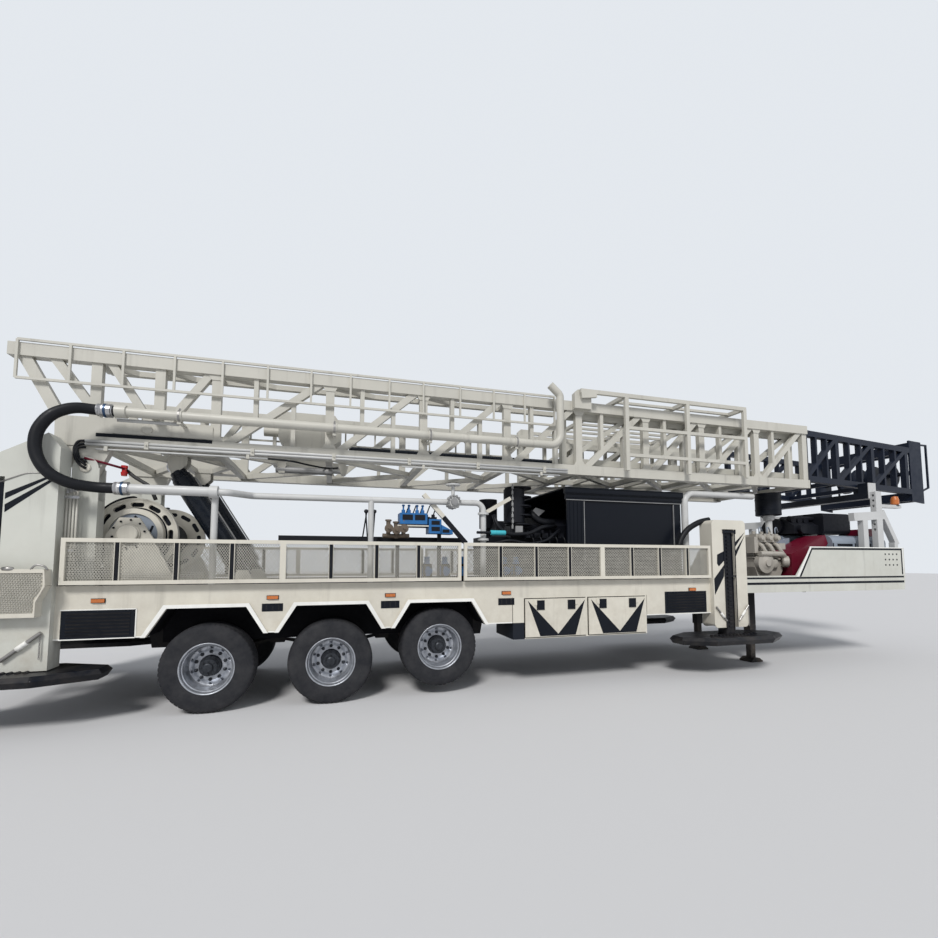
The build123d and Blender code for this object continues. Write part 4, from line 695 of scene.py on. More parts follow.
def cord_path(points, steps=9):
    """Straight runs joined by tangent arcs whose tangents are 0.45 of the shorter run, as rows of points."""
    points = at(points)
    parts = [points[:1]]
    for before, here, after in zip(points[:-2], points[1:-1], points[2:]):
        back, ahead = before - here, after - here
        reach = 0.45 * min(np.linalg.norm(back), np.linalg.norm(ahead))
        a, b = unit(back), unit(ahead)
        bisector = unit(a + b)
        half = math.acos(float(a @ bisector))
        centre = here + bisector * reach / math.cos(half)
        radius = reach * math.tan(half)
        first, last = here + a * reach - centre, here + b * reach - centre
        sweep = math.acos(float(np.clip(first @ last / radius**2, -1, 1)))
        t = np.linspace(0, 1, steps)[:, None]
        arc = (np.sin((1 - t) * sweep) * first + np.sin(t * sweep) * last) / math.sin(sweep)
        parts.append(centre + arc)
    parts.append(points[-1:])
    return np.concatenate(parts)


route = cord_path(HOSE_POINTS)
walked = np.concatenate([[0], np.cumsum(np.linalg.norm(np.diff(route, axis=0), axis=1))])
even = np.linspace(0, walked[-1], 140)
route = np.column_stack([np.interp(even, walked, route[:, k]) for k in range(3)])
hose = Batch().tube(route, HOSE_RADIUS, 32, LEFT)
hose = hose.write("mud_hose_tube", HOSE, None, smooth=True, stands_for="mud_hose")
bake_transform(hose)

# Mast: small gussets where the posts meet the chords
MAST_POSTS = [-0.047, 1.33, 2.608, 3.878, 5.079, 6.308, 7.426, 8.615]
MAST_FACE_Y = 1.077
gussets = Batch()
for s in MAST_POSTS:
    for z, tip in ((3.282, 3.357), (4.158, 4.083)):
        gussets.plate([(s - 0.105, z), (s + 0.105, z), (s + 0.06, tip), (s - 0.06, tip)], MAST_FACE_Y, 1.083)
gussets.both().write("mast_gussets", MAST_CREAM, "mast")

# Mast foot: a round boss, a black box under the base beam that paints the shade in its slot, and the caps of the
# hinge pin
foot = Batch().turned([(0.0, 0.058), (0.026, 0.058), (0.036, 0.048), (0.038, 0.0)], (-0.782, MAST_FACE_Y, 3.385),
                      LEFT, 24)
foot.plate([(-1.29, 3.312), (-0.07, 3.312), (-0.07, 3.47), (-1.29, 3.47)], MAST_FACE_Y, 1.0865)
foot.both().write("mast_foot_plates", MAST_CREAM, "mast")
# The slot under the base beam: a black box that paints its shade
Batch().boxes((-1.3, 1.08, 3.26, -0.07, 1.103, 3.302)).both().write("mast_foot_slot_shade", STRIPE, "mast")
caps = Batch().turned([(-0.01, 0.055), (0.014, 0.055), (0.018, 0.048), (0.02, 0.0)], (-1.37, 1.13, 2.88), LEFT)
caps.both().write("hinge_pin_caps", CREAM)

# Hydraulic pipes along the mast's lower chord, held by clamps
PIPE_ROWS = [
    # Y, height, first station, last station, radius
    (-1.122, 3.196, -1.39, 4.84, 0.017), (-1.122, 3.158, -1.39, 4.84, 0.017),
    (-1.122, 3.105, -1.284, 0.585, 0.011), (-1.122, 3.105, 2.3, 4.7, 0.011),
    (-1.18, 3.452, -1.06, -0.42, 0.02),
]
PIPE_CLAMPS = (-0.767, 0.4, 1.393, 2.4, 3.4, 4.45)
pipes = Batch()
for y, z, s_low, s_high, radius in PIPE_ROWS:
    pipes.line([(s, y, z) for s in (s_low, (s_low + s_high) / 2, s_high)], 0.05, radius)
pipes.write("mast_hydraulic_pipes", PIPE_WHITE, "mast", smooth=True)
clamps = Batch().centred(PIPE_CLAMPS, 0.022, -1.146, 3.13, -1.098, 3.222)
clamps.bolts([(s, -1.146, 3.177) for s in PIPE_CLAMPS], RIGHT, 0.01, 0.014)
clamps.centred((-1.181, 0.348, 2.6, 4.4), 0.018, -1.138, 3.088, -1.098, 3.142)
clamps.write("mast_pipe_clamps", MAST_CREAM, "mast")

# Three hoses that bend from the mast's pipes to the hinge pin, kept between the pedestal and the jack housing
loops = Batch()
for k in range(3):
    drop, rise = 0.038 * k, 0.035 * k
    loops.line([(-1.385, -1.1205, 3.196 - drop), (-1.462 + 0.012 * k, -1.1205, 3.192 - drop),
                (-1.5 + 0.015 * k, -1.1205, 3.1), (-1.468 + 0.02 * k, -1.15, 2.975),
                (-1.415 + 0.02 * k, -1.155, 2.9 + rise), (-1.355, -1.157, 2.865 + rise)], 0.04, 0.014)
loops = loops.write("mast_hose_loops", HOSE, None, smooth=True)
tuple(at([-1.385, -1.13, 3.16]))
tuple(at([-1.385, -1.13, 2.93]))
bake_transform(loops)
FEED = [(0.58, -1.122, 3.105), (0.86, -1.1, 3.1), (1.05, -0.95, 3.09), (1.3, -0.6, 3.12), (1.45, -0.5, 3.155)]
Batch().line(FEED, 0.12, 0.012).write("mast_feed_hose", HOSE, "mast", smooth=True)

# Clamps of the standpipe, and the couplings at both ends of the mud hose
STANDPIPE_CLAMPS = (-0.383, 1.393, 2.66, 3.93)
rings, dark_rings = Batch(), Batch()
for s in STANDPIPE_CLAMPS:
    centre = (s, -1.3, 3.52)
    rings.turned([(-0.03, 0.06), (-0.03, 0.068), (0.03, 0.068), (0.03, 0.06)], centre, ALONG, 24)
    dark_rings.turned([(-0.012, 0.06), (-0.012, 0.072), (0.012, 0.072), (0.012, 0.06)], centre, ALONG, 24)
    dark_rings.bolts([(s, -1.3, 3.588), (s, -1.3, 3.442)], UP, 0.013, 0.02)
rings.centred(STANDPIPE_CLAMPS, 0.022, -1.32, 3.42, -1.28, 3.462)
rings.centred(STANDPIPE_CLAMPS, 0.022, -1.3, 3.44, -1.075, 3.462).write("standpipe_clamps", MAST_CREAM, "mast")
dark_rings.write("standpipe_clamp_bands", STEEL, "mast")

COUPLING = [
    # distance along, radius
    (-0.078, 0.06), (-0.076, 0.071), (-0.064, 0.074), (-0.056, 0.071), (-0.046, 0.075), (-0.036, 0.071),
    (-0.024, 0.075), (-0.008, 0.075), (0.002, 0.069), (0.018, 0.069), (0.022, 0.078), (0.064, 0.078), (0.068, 0.065),
    (0.078, 0.058),
]
UNION = [(-0.006, 0.071), (-0.006, 0.0795), (0.02, 0.0795), (0.02, 0.071)]
for name, centre, body in (("top", (-1.135, -1.3, 3.52), "mast"), ("bottom", (-0.925, -1.31, 2.625), "chassis")):
    Batch().turned(COUPLING, centre, ALONG, 40).write(f"hose_coupling_{name}", ZINC, body)
    Batch().turned(UNION, centre, ALONG, 40).write(f"hose_union_{name}", BLUE_BAND, body)

# Drawworks: black plates behind and in the slots as painted shade of the openings, rings, a grey-blue disc as
# painted shade of a recess on the drum's disc, and the wound rope
DRUM = (-0.978, 2.125)
# Black rings and bars: painted shade in and behind the drum's slots
drum_shade_plates = Batch().band(0.345, 0.425, 0.648, 0.654).band(0.331, 0.349, 0.699, 0.7015)
for angle in np.radians([20, 80, 140, 200, 260, 320]):
    s, z = DRUM[0] + 0.2 * math.cos(angle), DRUM[1] + 0.2 * math.sin(angle)
    lean_s, lean_z = 0.05 * math.cos(angle + 0.9), 0.05 * math.sin(angle + 0.9)
    drum_shade_plates.bars((s - lean_s, 0.7725, z - lean_z), (s + lean_s, 0.7725, z + lean_z), 0.026, 0.004)
drum_shade_plates.both().write("drum_slot_shade", STRIPE, "drum")
# A grey-blue disc that paints the recess's shade
Batch().band(0.11, 0.262, 0.769, 0.7715).both().write("drum_recess_shade", GREY, "drum")
drum_light = Batch().band(0.265, 0.329, 0.769, 0.79).band(0.448, 0.4675, 0.699, 0.706)
drum_light.both().write("drum_rings", CREAM, "drum")
ROPE_TURNS = 26
coil = np.linspace(0, 2 * np.pi * ROPE_TURNS, ROPE_TURNS * 40)
wound = np.column_stack([DRUM[0] + 0.228 * np.cos(coil), np.linspace(-0.625, 0.625, len(coil)),
                         DRUM[1] + 0.228 * np.sin(coil)])
Batch().tube(at(wound), 0.0155, 6, LEFT).write("drum_rope", WIRE, "drum", smooth=True)

# The brake's bands, and the bearings' caps and bolts
brake = Batch().band(0.476, 0.496, 0.6, 0.69, (95, 262), 60)
brake.boxes((-1.44, 0.6, 1.96, -1.4, 0.69, 2.02)).both().write("brake_bands", UNDER)
bearing = Batch().turned([(0.0, 0.125), (0.02, 0.125), (0.02, 0.112), (0.046, 0.108), (0.052, 0.098), (0.053, 0.0)],
                         (DRUM[0], 0.925, DRUM[1]), LEFT, 40)
bearing.both().write("drum_bearing_caps", CREAM)
hub_bolts = Batch().bolts([(s, 0.925, z) for s, z in circle(*DRUM, 0.172, 10, 0.2)], LEFT, 0.013, 0.014)
hub_bolts.both().write("drum_bearing_bolts", UNDER)

# Pipes beside the rear jack housings, with their unions, and a red valve on an arm from the pedestal
risers, fittings = Batch(), Batch()
for k, s in enumerate((-1.478, -1.446, -1.414, -1.382)):
    top = (s, -1.235, 2.56 + 0.01 * k)
    risers.line([(s, -1.235, 1.52), (s, -1.235, 2.1), top], 0.05, 0.011)
    fittings.turned([(0.0, 0.0165), (0.03, 0.0165), (0.034, 0.013), (0.05, 0.013)], top, UP, 6)
fittings.boxes((-1.5, -1.25, 2.5, -1.362, -1.215, 2.53), (-1.5, -1.25, 1.9, -1.362, -1.215, 1.93))
risers.write("housing_risers", MAST_CREAM, smooth=True)
fittings.write("housing_riser_unions", ZINC)
arm = Batch().line([(-1.385, -1.135, 2.99), (-1.25, -1.11, 2.96), (-1.02, -1.02, 2.905)], 0.05, 0.014)
arm.write("red_valve_feed", MAROON, smooth=True)
BRAID = [(-1.03, -0.95, 2.902), (-0.933, -0.95, 2.815), (-0.77, -0.95, 2.718), (-0.7, -0.95, 2.55)]
Batch().line(BRAID, 0.05, 0.022).write("braided_hose", WIRE, slot="hose_rubber", smooth=True)
RED_VALVE = [(0.0, 0.03), (0.045, 0.036), (0.05, 0.026), (0.09, 0.026), (0.095, 0.038), (0.125, 0.036)]
Batch().turned(RED_VALVE, (-1.03, -1.0, 2.82), UP, 20).write("red_valve", RED)

# Near ends of the rams: black gland sleeves on the barrels and a thin pipe along each, and the rods' ends
FOOT, EYE = np.array([0.26, 1.64]), np.array([-0.6, 3.02])
RAM_Y = 0.62
lengthwise = unit(EYE - FOOT)
square = np.array([lengthwise[1], -lengthwise[0]])
RAM_LINE = ((FOOT[0], RAM_Y, FOOT[1]), (lengthwise[0], 0, lengthwise[1]), 40)
glands = Batch().turned([(1.414, 0.066), (1.414, 0.127), (1.455, 0.127), (1.462, 0.118), (1.498, 0.116),
                         (1.504, 0.1), (1.504, 0.066)], *RAM_LINE)
glands.both().write("ram_glands", BARREL_BLACK, "ram_barrels")
rod_ends = Batch().turned([(1.506, 0.066), (1.506, 0.1), (1.555, 0.1), (1.575, 0.08), (1.575, 0.066)], *RAM_LINE)
rod_ends.both().write("ram_rod_ends", BARREL_BLACK, "ram_rods")
ram_pipes = Batch()
near = [FOOT + lengthwise * a + square * b
        for a, b in ((0.3, 0.118), (0.34, 0.146), (1.1, 0.146), (1.38, 0.146), (1.42, 0.118))]
for sign in BOTH:
    ram_pipes.line([(s, sign * RAM_Y, z) for s, z in near], 0.03, 0.01)
ram_pipes.write("ram_pipes", PIPE_GREY, "ram_barrels", smooth=True)

# Under the mast floor: a grey cylinder with its bracket and a slim pipe
cylinder = Batch().turned([(0.0, 0.03), (0.004, 0.046), (0.72, 0.046), (0.725, 0.052), (0.76, 0.052), (0.765, 0.02),
                           (0.94, 0.02)], (0.62, -0.6, 3.07), ALONG, 28)
cylinder.write("floor_cylinder", PIPE_GREY, "mast")
bracket = Batch().plate([(0.66, 3.02), (0.74, 3.02), (0.76, 3.17), (0.64, 3.17)], -0.64, -0.56)
bracket.plate([(1.5, 3.03), (1.56, 3.03), (1.6, 3.17), (1.46, 3.17)], -0.64, -0.56)
bracket.write("floor_cylinder_brackets", MAST_CREAM, "mast")

# Long black cylinder inside the mast that pushes the upper section out
pusher = Batch().turned([(1.62, 0.026), (1.624, 0.042), (8.1, 0.042), (8.104, 0.052), (8.2, 0.052),
                         (8.204, 0.03), (8.52, 0.03)], (0.0, 0.0, 3.56), ALONG, 24)
pusher.write("extension_cylinder", BARREL_BLACK, "mast")

# Control bank: blue valve blocks with dark windows, bronze valves, levers, and blue fittings on the deck edge
BANK_Y = -0.98
SPOOL = [(0.0, 0.026), (0.05, 0.026), (0.055, 0.012), (0.1, 0.012), (0.105, 0.022), (0.125, 0.018)]
BONNET = [(-0.06, 0.03), (-0.058, 0.045), (0.03, 0.05), (0.036, 0.036), (0.075, 0.034), (0.08, 0.06),
          (0.092, 0.06), (0.095, 0.018), (0.13, 0.016)]
BODY = [(-0.11, 0.03), (0.1, 0.03), (0.104, 0.044), (0.125, 0.044), (0.13, 0.0)]
KNOB = [(0.0, 0.012), (0.02, 0.026), (0.045, 0.022), (0.055, 0.0)]
DECK_FITTING = [(0.0, 0.066), (0.13, 0.066), (0.135, 0.046), (0.185, 0.046), (0.19, 0.038), (0.262, 0.038),
                (0.268, 0.024)]
OUTLET = [(0.0, 0.04), (0.05, 0.04), (0.052, 0.048), (0.08, 0.048), (0.085, 0.0)]
CANISTER = [(0.0, 0.03), (0.006, 0.036), (0.225, 0.036), (0.232, 0.03)]
blue, bronze, dark, pale = Batch(), Batch(), Batch(), Batch()
blue.boxes((2.296, -1.022, 2.318, 2.682, -0.785, 2.474), (2.705, -1.03, 2.19, 2.885, -0.79, 2.395))
blue.plate([(2.87, 2.186), (3.055, 2.182), (3.047, 2.235), (2.88, 2.32)], -1.03, -0.83)
dark.boxes((2.33, -1.027, 2.375, 2.475, -1.02, 2.45), (2.505, -1.027, 2.375, 2.65, -1.02, 2.45),
           (2.74, -1.035, 2.315, 2.86, -1.028, 2.37), (2.74, -1.035, 2.225, 2.86, -1.028, 2.285),
           (2.9, -1.035, 2.205, 3.0, -1.028, 2.25), (0.7, -0.78, 2.072, 3.3, -0.735, 2.145),
           (1.76, -1.01, 2.045, 1.985, -0.9, 2.12))
for s in (2.35, 2.43, 2.545, 2.625):
    blue.turned(SPOOL, (s, -0.955, 2.47), UP, 12)
for s, z in ((2.14, 2.25), (2.245, 2.225), (2.35, 2.25)):
    bronze.turned(BONNET, (s, BANK_Y, z), RIGHT, 14).turned(BODY, (s, BANK_Y, z), UP, 12)
bronze.line([(2.06, BANK_Y, 2.15), (2.24, BANK_Y, 2.145), (2.43, BANK_Y, 2.15)], 0.05, 0.032)
for s, lean in ((1.79, 0.05), (1.86, -0.03), (1.93, 0.02)):
    dark.bars((s, -0.96, 2.1), (s + lean, -0.99, 2.46), 0.018, 0.018)
    dark.turned(KNOB, (s + lean, -0.99, 2.455), UP, 14)
dark.bars((2.93, -0.95, 2.435), (3.27, -0.95, 2.06), 0.062, 0.05)
dark.turned([(0.0, 0.02), (0.22, 0.02)], (3.39, -1.1, 2.212), ALONG, 12)
pale.bars((2.64, -0.95, 2.755), (2.935, -0.95, 2.43), 0.062, 0.05)
pale.bars((3.6, -0.9, 2.53), (3.986, -0.9, 2.755), 0.055, 0.04)
pale.boxes((2.262, -1.01, 2.286, 2.9, -1.002, 2.306))
for s in (2.65, 2.9, 3.15, 3.78, 3.96):
    blue.turned(DECK_FITTING, (s, -1.17, 1.595), UP, 20).turned(OUTLET, (s, -1.225, 1.665), RIGHT, 16)
blue.write("valve_blocks", BLUE)
bronze.write("bank_valves", BRONZE)
dark.write("bank_levers_and_beam", ENGINE)
pale.write("bank_braces", CREAM)
Batch().turned(CANISTER, (3.598, -1.1, 2.212), ALONG, 24).write("filter_canister", CYAN)

# Gate valve: studs round its body, and spokes in its hand wheel
VALVE_S, VALVE_Y, VALVE_Z = 3.06, -1.0, 2.648
HAND_WHEEL_Z = 2.918
studs, spokes = Batch(), Batch()
for s, z in circle(VALVE_S, VALVE_Z, 0.088, 12, 0.13):
    studs.turned([(-0.092, 0.012), (0.092, 0.012)], (s, VALVE_Y, z), LEFT, 8)
    studs.bolts([(s, VALVE_Y - 0.07, z)], RIGHT, 0.019, 0.016)
for s, y in circle(VALVE_S, VALVE_Y, 0.1, 5):
    spokes.bars((VALVE_S, VALVE_Y, HAND_WHEEL_Z), (s, y, HAND_WHEEL_Z), 0.016, 0.012, UP)
studs.turned([(-0.075, 0.05), (-0.1, 0.05), (-0.1, 0.0)], (VALVE_S, VALVE_Y, VALVE_Z), LEFT, 24)
studs.write("gate_valve_studs", PIPE_GREY)
spokes.write("gate_valve_spokes", BLACK)

# Main engine: bands and fittings on the air cleaners, pipes and covers on the block
BAND = [(-0.012, 0.203), (-0.01, 0.213), (0.01, 0.213), (0.012, 0.203)]
fine, silver, hoses = Batch(), Batch(), Batch()
for z in np.linspace(2.38, 2.96, 5):
    fine.turned(BAND, (4.235, -0.6, z), UP, 40)
for k, z in enumerate(np.linspace(2.3, 2.92, 8)):
    silver.turned([(0.0, 0.017), (0.05, 0.017), (0.052, 0.01), (0.078, 0.01)], (4.06 + 0.004 * (k % 2), -0.8, z),
                  UP, 8)
silver.plate([(4.09, 2.206), (4.204, 2.206), (4.204, 2.34), (4.09, 2.34)], -0.86, -0.835)
silver.plate([(4.449, 2.552), (4.609, 2.524), (4.735, 2.626), (4.575, 2.671)], -0.54, -0.52)
for s in np.arange(4.36, 4.92, 0.135):
    fine.boxes((s - 0.05, -0.76, 2.165, s + 0.05, -0.56, 2.245))
    fine.turned([(0.0, 0.026), (0.05, 0.026), (0.055, 0.0)], (s, -0.66, 2.245), UP, 12)
    hoses.line([(s, -0.79, 2.2), (s + 0.02, -0.86, 2.15), (s + 0.03, -0.85, 2.03), (s + 0.01, -0.77, 1.97)],
               0.04, 0.012)
hoses.line([(3.73, -0.86, 2.5), (3.78, -0.92, 2.3), (3.95, -0.93, 2.2), (4.3, -0.9, 2.22), (4.55, -0.84, 2.34),
            (4.84, -0.7, 2.36)], 0.1, 0.03)
hoses.line([(3.7, -0.8, 2.05), (3.95, -0.92, 2.12), (4.3, -0.92, 2.06), (4.6, -0.88, 2.12), (4.86, -0.8, 2.3)],
           0.1, 0.022)
hoses.line([(4.45, -0.55, 2.6), (4.6, -0.6, 2.44), (4.86, -0.6, 2.42)], 0.1, 0.055)
fine.write("engine_details", ENGINE)
silver.write("engine_fittings", PIPE_GREY)
hoses.write("engine_hoses", HOSE, smooth=True)

# Canopy: ridges round the cornice and up the side panels, and grey lines that paint highlights at the cornice's foot
# and on the panels' edges
ridges = Batch()
for y, z in ((0.9965, 2.945), (0.9965, 2.872), (0.9765, 2.85), (0.9765, 2.8)):
    ridges.boxes((4.87, y, z, 7.06, y + 0.01, z + 0.01))
for s in np.linspace(4.955, 5.155, 4):
    ridges.boxes((s, 0.968, 1.56, s + 0.012, 0.975, 2.75))
ridges.both().write("canopy_ridges", BLACK)
# Grey strips as painted highlights on the cornice's foot and the corner posts' edges
light_lines = Batch().boxes((4.888, 0.972, 2.758, 7.052, 0.98, 2.768), (5.203, 0.951, 1.7, 5.213, 0.971, 2.745),
                            (6.888, 0.951, 1.7, 6.898, 0.971, 2.745))
light_lines.both().write("canopy_painted_highlights", PIPE_GREY, slot="grey_paint")

# Duct from the canopy over the front column
DUCT = [(6.79, -1.12, 1.6), (6.83, -1.12, 2.06), (6.99, -1.12, 2.31), (7.24, -1.15, 2.455),
        (7.42, -1.17, 2.49)]
Batch().line(DUCT, 0.2, 0.046).write("column_duct", HOSE, smooth=True)

# Front columns: racks on the legs, and lips and a cap round the slots
rack = Batch()
for z in np.arange(0.74, 2.22, 0.06):
    rack.boxes((7.578, 1.35, z, 7.642, 1.366, z + 0.03))
for s in (7.53, 7.682):
    rack.boxes((s, 1.35, 0.7, s + 0.01, 1.362, 2.26))
rack.write_sides("leg_rack", BLACK, "jack_front")
LIP_FOOT_Y = 1.379
LIPS = [
    # first station, last station, Y, bottom, top
    (7.492, 7.504, 1.388, 0.745, 2.31), (7.716, 7.728, 1.388, 0.745, 2.31), (7.488, 7.732, 1.391, 2.262, 2.3),
    (7.48, 7.498, 1.394, 2.25, 2.318), (7.722, 7.74, 1.394, 2.25, 2.318), (7.492, 7.728, 1.387, 1.548, 1.57),
]
lips = Batch().boxes(*((s_low, LIP_FOOT_Y, z_low, s_high, y, z_high) for s_low, s_high, y, z_low, z_high in LIPS))
lips.both().write("column_slot_lips", BLACK)

# Lock pins with their grips on the jack columns, and a chain at the rear ones
PIN_Y = 1.402
CHAIN_Y = 1.404
LINK = np.linspace(0, 2 * np.pi, 15)
PINS = [
    # station and height of both ends, Y, radius, grip's radius, places along the pin where the grip bends
    ((7.29, 1.075), (7.488, 0.85), PIN_Y, 0.013, 0.019, (0.42, 0.58, 0.75)),
    ((7.93, 1.085), (7.736, 0.85), PIN_Y, 0.013, 0.019, (0.35, 0.58, 0.7)),
    ((-1.898, 0.754), (-1.561, 1.033), CHAIN_Y, 0.02, 0.027, (0.4, 0.55, 0.66)),
]
pins, pin_grips = Batch(), Batch()
for sign in BOTH:
    for (s0, z0), (s1, z1), y, radius, grip_radius, shares in PINS:
        start, end = np.array([s0, sign * y, z0]), np.array([s1, sign * y, z1])
        pins.line([start, (start + end) / 2, end], 0.02, radius)
        pin_grips.line([start + (end - start) * share for share in shares], 0.02, grip_radius)
    y = sign * PIN_Y
    pins.line([(7.936, y, 1.085), (7.938, y, 0.9), (7.938, y, 0.75)], 0.02, 0.005, 6)
    for k in range(13):
        flat = np.zeros((15, 3))
        flat[:, k % 2], flat[:, 2] = 0.007 * np.cos(LINK), 0.014 * np.sin(LINK)
        middle = at((-1.566, sign * CHAIN_Y, 1.018 - k * 0.021))
        pins.tube(middle + flat, 0.0032, 6, ALONG if k % 2 else LEFT)
pins.write("lock_pins_and_chains", STEEL)
pin_grips.write("lock_pin_grips", WHITE, smooth=True)

# Jack pads: a row of lugs along the middle, and a grey strip along the top edge as a painted highlight
for place, station, reach in (("rear", -2.085, 0.575), ("front", 7.61, 0.48)):
    lugs = Batch()
    for s in np.arange(-0.42, 0.43, 0.07):
        lugs.turned([(-0.03, 0.02), (0.03, 0.02)], (station + s, 1.4, 0.622), LEFT, 12)
    lugs.write_sides(f"pad_lugs_{place}", BLACK, f"jack_{place}")
    edge = Batch().bars((station - reach, 1.64, 0.574), (station + reach, 1.64, 0.574), 0.01, 0.012)
    edge.write_sides(f"pad_edge_{place}", PIPE_GREY, f"jack_{place}")

# Hooks on the rear guard's post and top rail, and a line with its fitting
hooks = Batch()
for sign in BOTH:
    y, y_out = sign * 1.5, sign * 1.505
    hooks.line([(-1.64, y, 1.7), (-1.6, y_out, 1.76), (-1.52, y_out, 1.745), (-1.49, y, 1.7)], 0.04, 0.01)
    hooks.line([(-2.3, y, 1.715), (-2.05, y_out, 1.728), (-1.9, y_out, 1.712)], 0.06, 0.012)
    hooks.turned([(0.0, 0.02), (0.05, 0.024), (0.09, 0.018), (0.1, 0.0)], (-1.88, y, 1.715), ALONG, 12)
    y = sign * 1.384
    hooks.line([(-2.02, y, 2.636), (-1.785, y, 2.75), (-1.577, y, 2.758)], 0.05, 0.006, 8)
hooks.write("guard_hooks", STEEL, smooth=True)

# White borders: round the rear plates and along the neck panels' edges; black discs in the panels as painted shade
# inside the vent holes
borders, holes = Batch(), Batch()
borders.bars([(-1.448, 1.304, 0.934), (-1.448, 1.304, 1.256), (-0.727, 1.304, 0.934)],
             [(-0.727, 1.304, 0.934), (-0.727, 1.304, 1.256), (-0.727, 1.304, 1.256)], 0.012, 0.006)
borders.plate([(9.122, 1.536), (9.448, 2.05), (9.486, 2.04), (9.172, 1.536)], SKIRT_Y, SKIRT_Y + 0.005)
borders.bars([(9.45, 1.303, 2.053), (11.757, 1.303, 1.55)], [(11.77, 1.303, 2.053), (11.757, 1.303, 2.05)],
             0.016, 0.006)
# Each vent hole is a black disc that paints the shade inside it
for s in np.linspace(11.3, 11.6, 4):
    for z in (1.735, 1.835, 1.935):
        holes.turned([(0.0, 0.016), (0.003, 0.016), (0.0032, 0.0)], (s, SKIRT_Y, z), LEFT, 12)
borders.both().write("white_borders", WHITE)
holes.both().write("panel_vent_hole_shade", STRIPE)

# Deck engine: black air cleaner on its white stack, manifold, covers, leads and an outlet stub
CLEANER_LINE = ((9.31, -0.64, 0.0), UP)
CLEANER = [(2.662, 0.095), (2.662, 0.205), (2.67, 0.214), (2.69, 0.214), (2.7, 0.2125), (3.04, 0.2125),
           (3.05, 0.218), (3.075, 0.218), (3.084, 0.19), (3.086, 0.0)]
STACK = [(2.235, 0.057), (2.56, 0.057), (2.566, 0.066), (2.578, 0.092), (2.66, 0.094)]
ROUND_COVERS = [
    # profile, centre, axis, steps
    ([(-0.055, 0.1), (-0.05, 0.175), (0.05, 0.18), (0.058, 0.12), (0.08, 0.06), (0.1, 0.055)],
     (8.86, -0.9, 1.77), RIGHT, 36),
    ([(-0.08, 0.062), (0.04, 0.078), (0.05, 0.06), (0.06, 0.0)], (9.1, -0.88, 1.76), RIGHT, 28),
    ([(0.0, 0.06), (0.15, 0.06), (0.155, 0.05), (0.2, 0.05)], (8.69, -0.82, 2.08), ALONG, 24),
    ([(0.0, 0.075), (0.02, 0.098), (0.1, 0.104), (0.105, 0.098), (0.105, 0.08), (0.02, 0.072)],
     (9.29, -0.88, 1.795), (0.82, -0.57, 0.0), 32),
]
cleaner, lumps, leads = Batch().turned(CLEANER, *CLEANER_LINE, 48), Batch(), Batch()
for z in (2.76, 2.95):
    cleaner.turned([(z, 0.212), (z + 0.002, 0.217), (z + 0.022, 0.217), (z + 0.024, 0.212)], *CLEANER_LINE, 48)
for s in (8.8, 8.985, 9.17):
    lumps.boxes((s - 0.07, -0.88, 2.15, s + 0.07, -0.74, 2.3))
    lumps.turned([(0.0, 0.045), (0.05, 0.052), (0.09, 0.04), (0.095, 0.0)], (s, -0.87, 2.225), RIGHT, 20)
    lumps.line([(s, -0.86, 2.12), (s, -0.93, 2.08), (s + 0.03, -0.945, 2.0), (s + 0.08, -0.94, 1.955)],
               0.05, 0.034)
    leads.line([(s - 0.02, -0.9, 2.3), (s - 0.03, -0.9, 2.4), (s + 0.06, -0.86, 2.43), (s + 0.14, -0.82, 2.34)],
               0.05, 0.01)
lumps.line([(8.72, -0.945, 1.94), (9.0, -0.945, 1.935), (9.26, -0.945, 1.93), (9.33, -0.9, 1.86)],
           0.06, 0.048)
for cover in ROUND_COVERS:
    lumps.turned(*cover)
lumps.boxes((8.66, -0.9, 1.95, 8.74, -0.72, 2.24), (9.2, -0.93, 2.02, 9.34, -0.76, 2.13))
cleaner.write("deck_air_cleaner", BLACK)
Batch().turned(STACK, *CLEANER_LINE).write("deck_engine_stack", PIPE_WHITE)
# The castings' worn cream is dirt and painted shade
lumps.write("deck_engine_castings", WORN_SHADED_CREAM)
leads.write("deck_engine_leads", GREY, smooth=True)
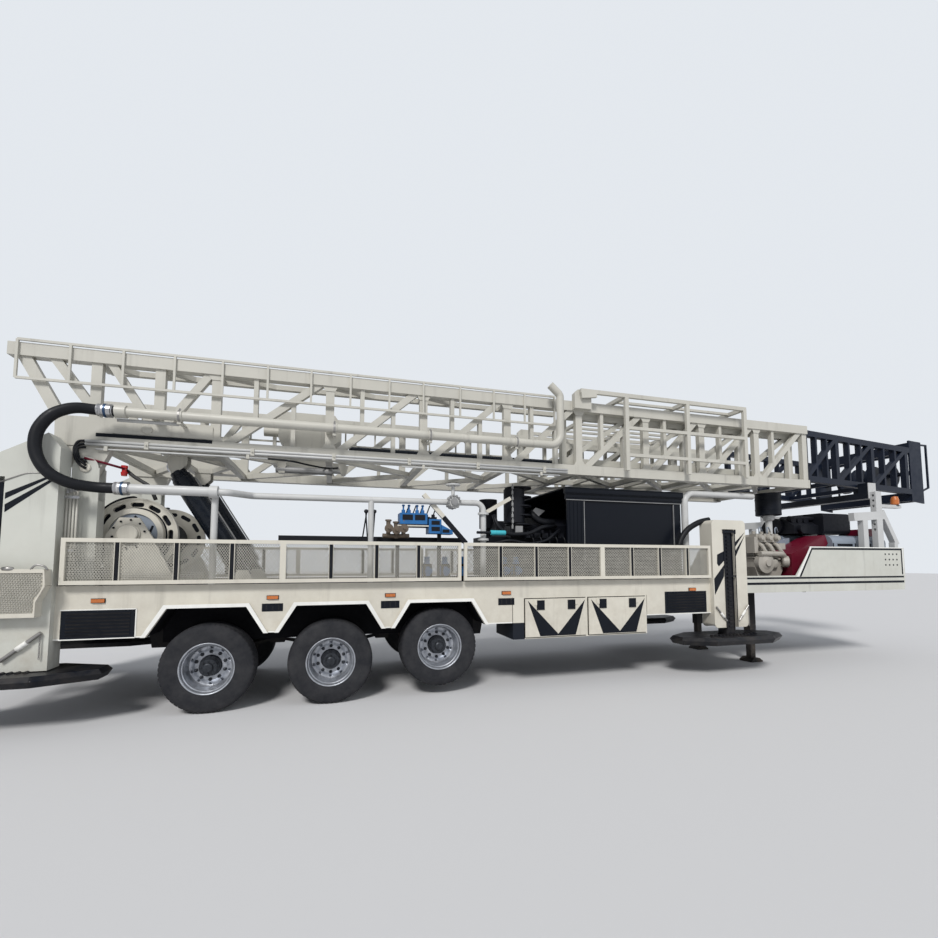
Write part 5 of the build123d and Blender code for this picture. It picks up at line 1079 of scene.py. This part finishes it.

# Tank housing: dark straps, and a black box in its side that paints the shade inside a slot
straps = Batch().boxes((10.305, -1.0865, 1.6, 10.325, -1.0815, 2.14), (10.42, -1.0855, 2.085, 10.8, -1.0805, 2.13),
                       (10.86, -1.0855, 1.6, 10.885, -1.0805, 2.14), (11.25, -1.0855, 1.6, 11.275, -1.0805, 2.14))
straps.write("tank_straps_and_slot_shade", STRIPE)

# Stage: a pale floor, soft sky with a pale backdrop, and two broad lamps
FLOOR_HALF = 90.0
floor_paint = bpy.data.materials.new("pale floor")
floor_paint.use_nodes = True
shader = floor_paint.node_tree.nodes["Principled BSDF"]
shader.inputs["Base Color"].default_value = (0.62, 0.62, 0.63, 1.0)
shader.inputs["Roughness"].default_value = 0.9
floor_mesh = bpy.data.meshes.new("floor")
floor_mesh.from_pydata([(FLOOR_HALF * s, FLOOR_HALF * y, 0) for s, y in ((-1, -1), (1, -1), (1, 1), (-1, 1))], [],
                       [(0, 1, 2, 3)])
floor_mesh.materials.append(floor_paint)
floor = bpy.data.objects.new("floor", floor_mesh)
scene.collection.objects.link(floor)

world = bpy.data.worlds.new("studio sky")
scene.world = world
world.use_nodes = True
tree = world.node_tree
background, backdrop = tree.nodes["Background"], tree.nodes.new("ShaderNodeBackground")
for sky, colour, strength in ((background, (0.9, 0.94, 1.0, 1.0), 0.46), (backdrop, (0.86, 0.9, 0.95, 1.0), 0.9)):
    sky.inputs["Color"].default_value = colour
    sky.inputs["Strength"].default_value = strength
rays = tree.nodes.new("ShaderNodeLightPath")
mix = tree.nodes.new("ShaderNodeMixShader")
tree.links.new(rays.outputs["Is Camera Ray"], mix.inputs[0])
tree.links.new(background.outputs[0], mix.inputs[1])
tree.links.new(backdrop.outputs[0], mix.inputs[2])
tree.links.new(mix.outputs[0], tree.nodes["World Output"].inputs["Surface"])


def lamp(name, strength, turn, rise, angle, colour):
    """A sun lamp from an azimuth and a height, in degrees, with soft edges."""
    data = bpy.data.lights.new(name, "SUN")
    data.energy = strength
    data.angle = math.radians(angle)
    data.color = colour
    obj = bpy.data.objects.new(name, data)
    obj.rotation_euler = (math.radians(90 - rise), 0, math.radians(turn))
    scene.collection.objects.link(obj)


lamp("key", 2.5, -28.0, 42.0, 14.0, (1.0, 0.985, 0.96))
lamp("fill", 0.4, 60.0, 25.0, 60.0, (0.93, 0.96, 1.0))
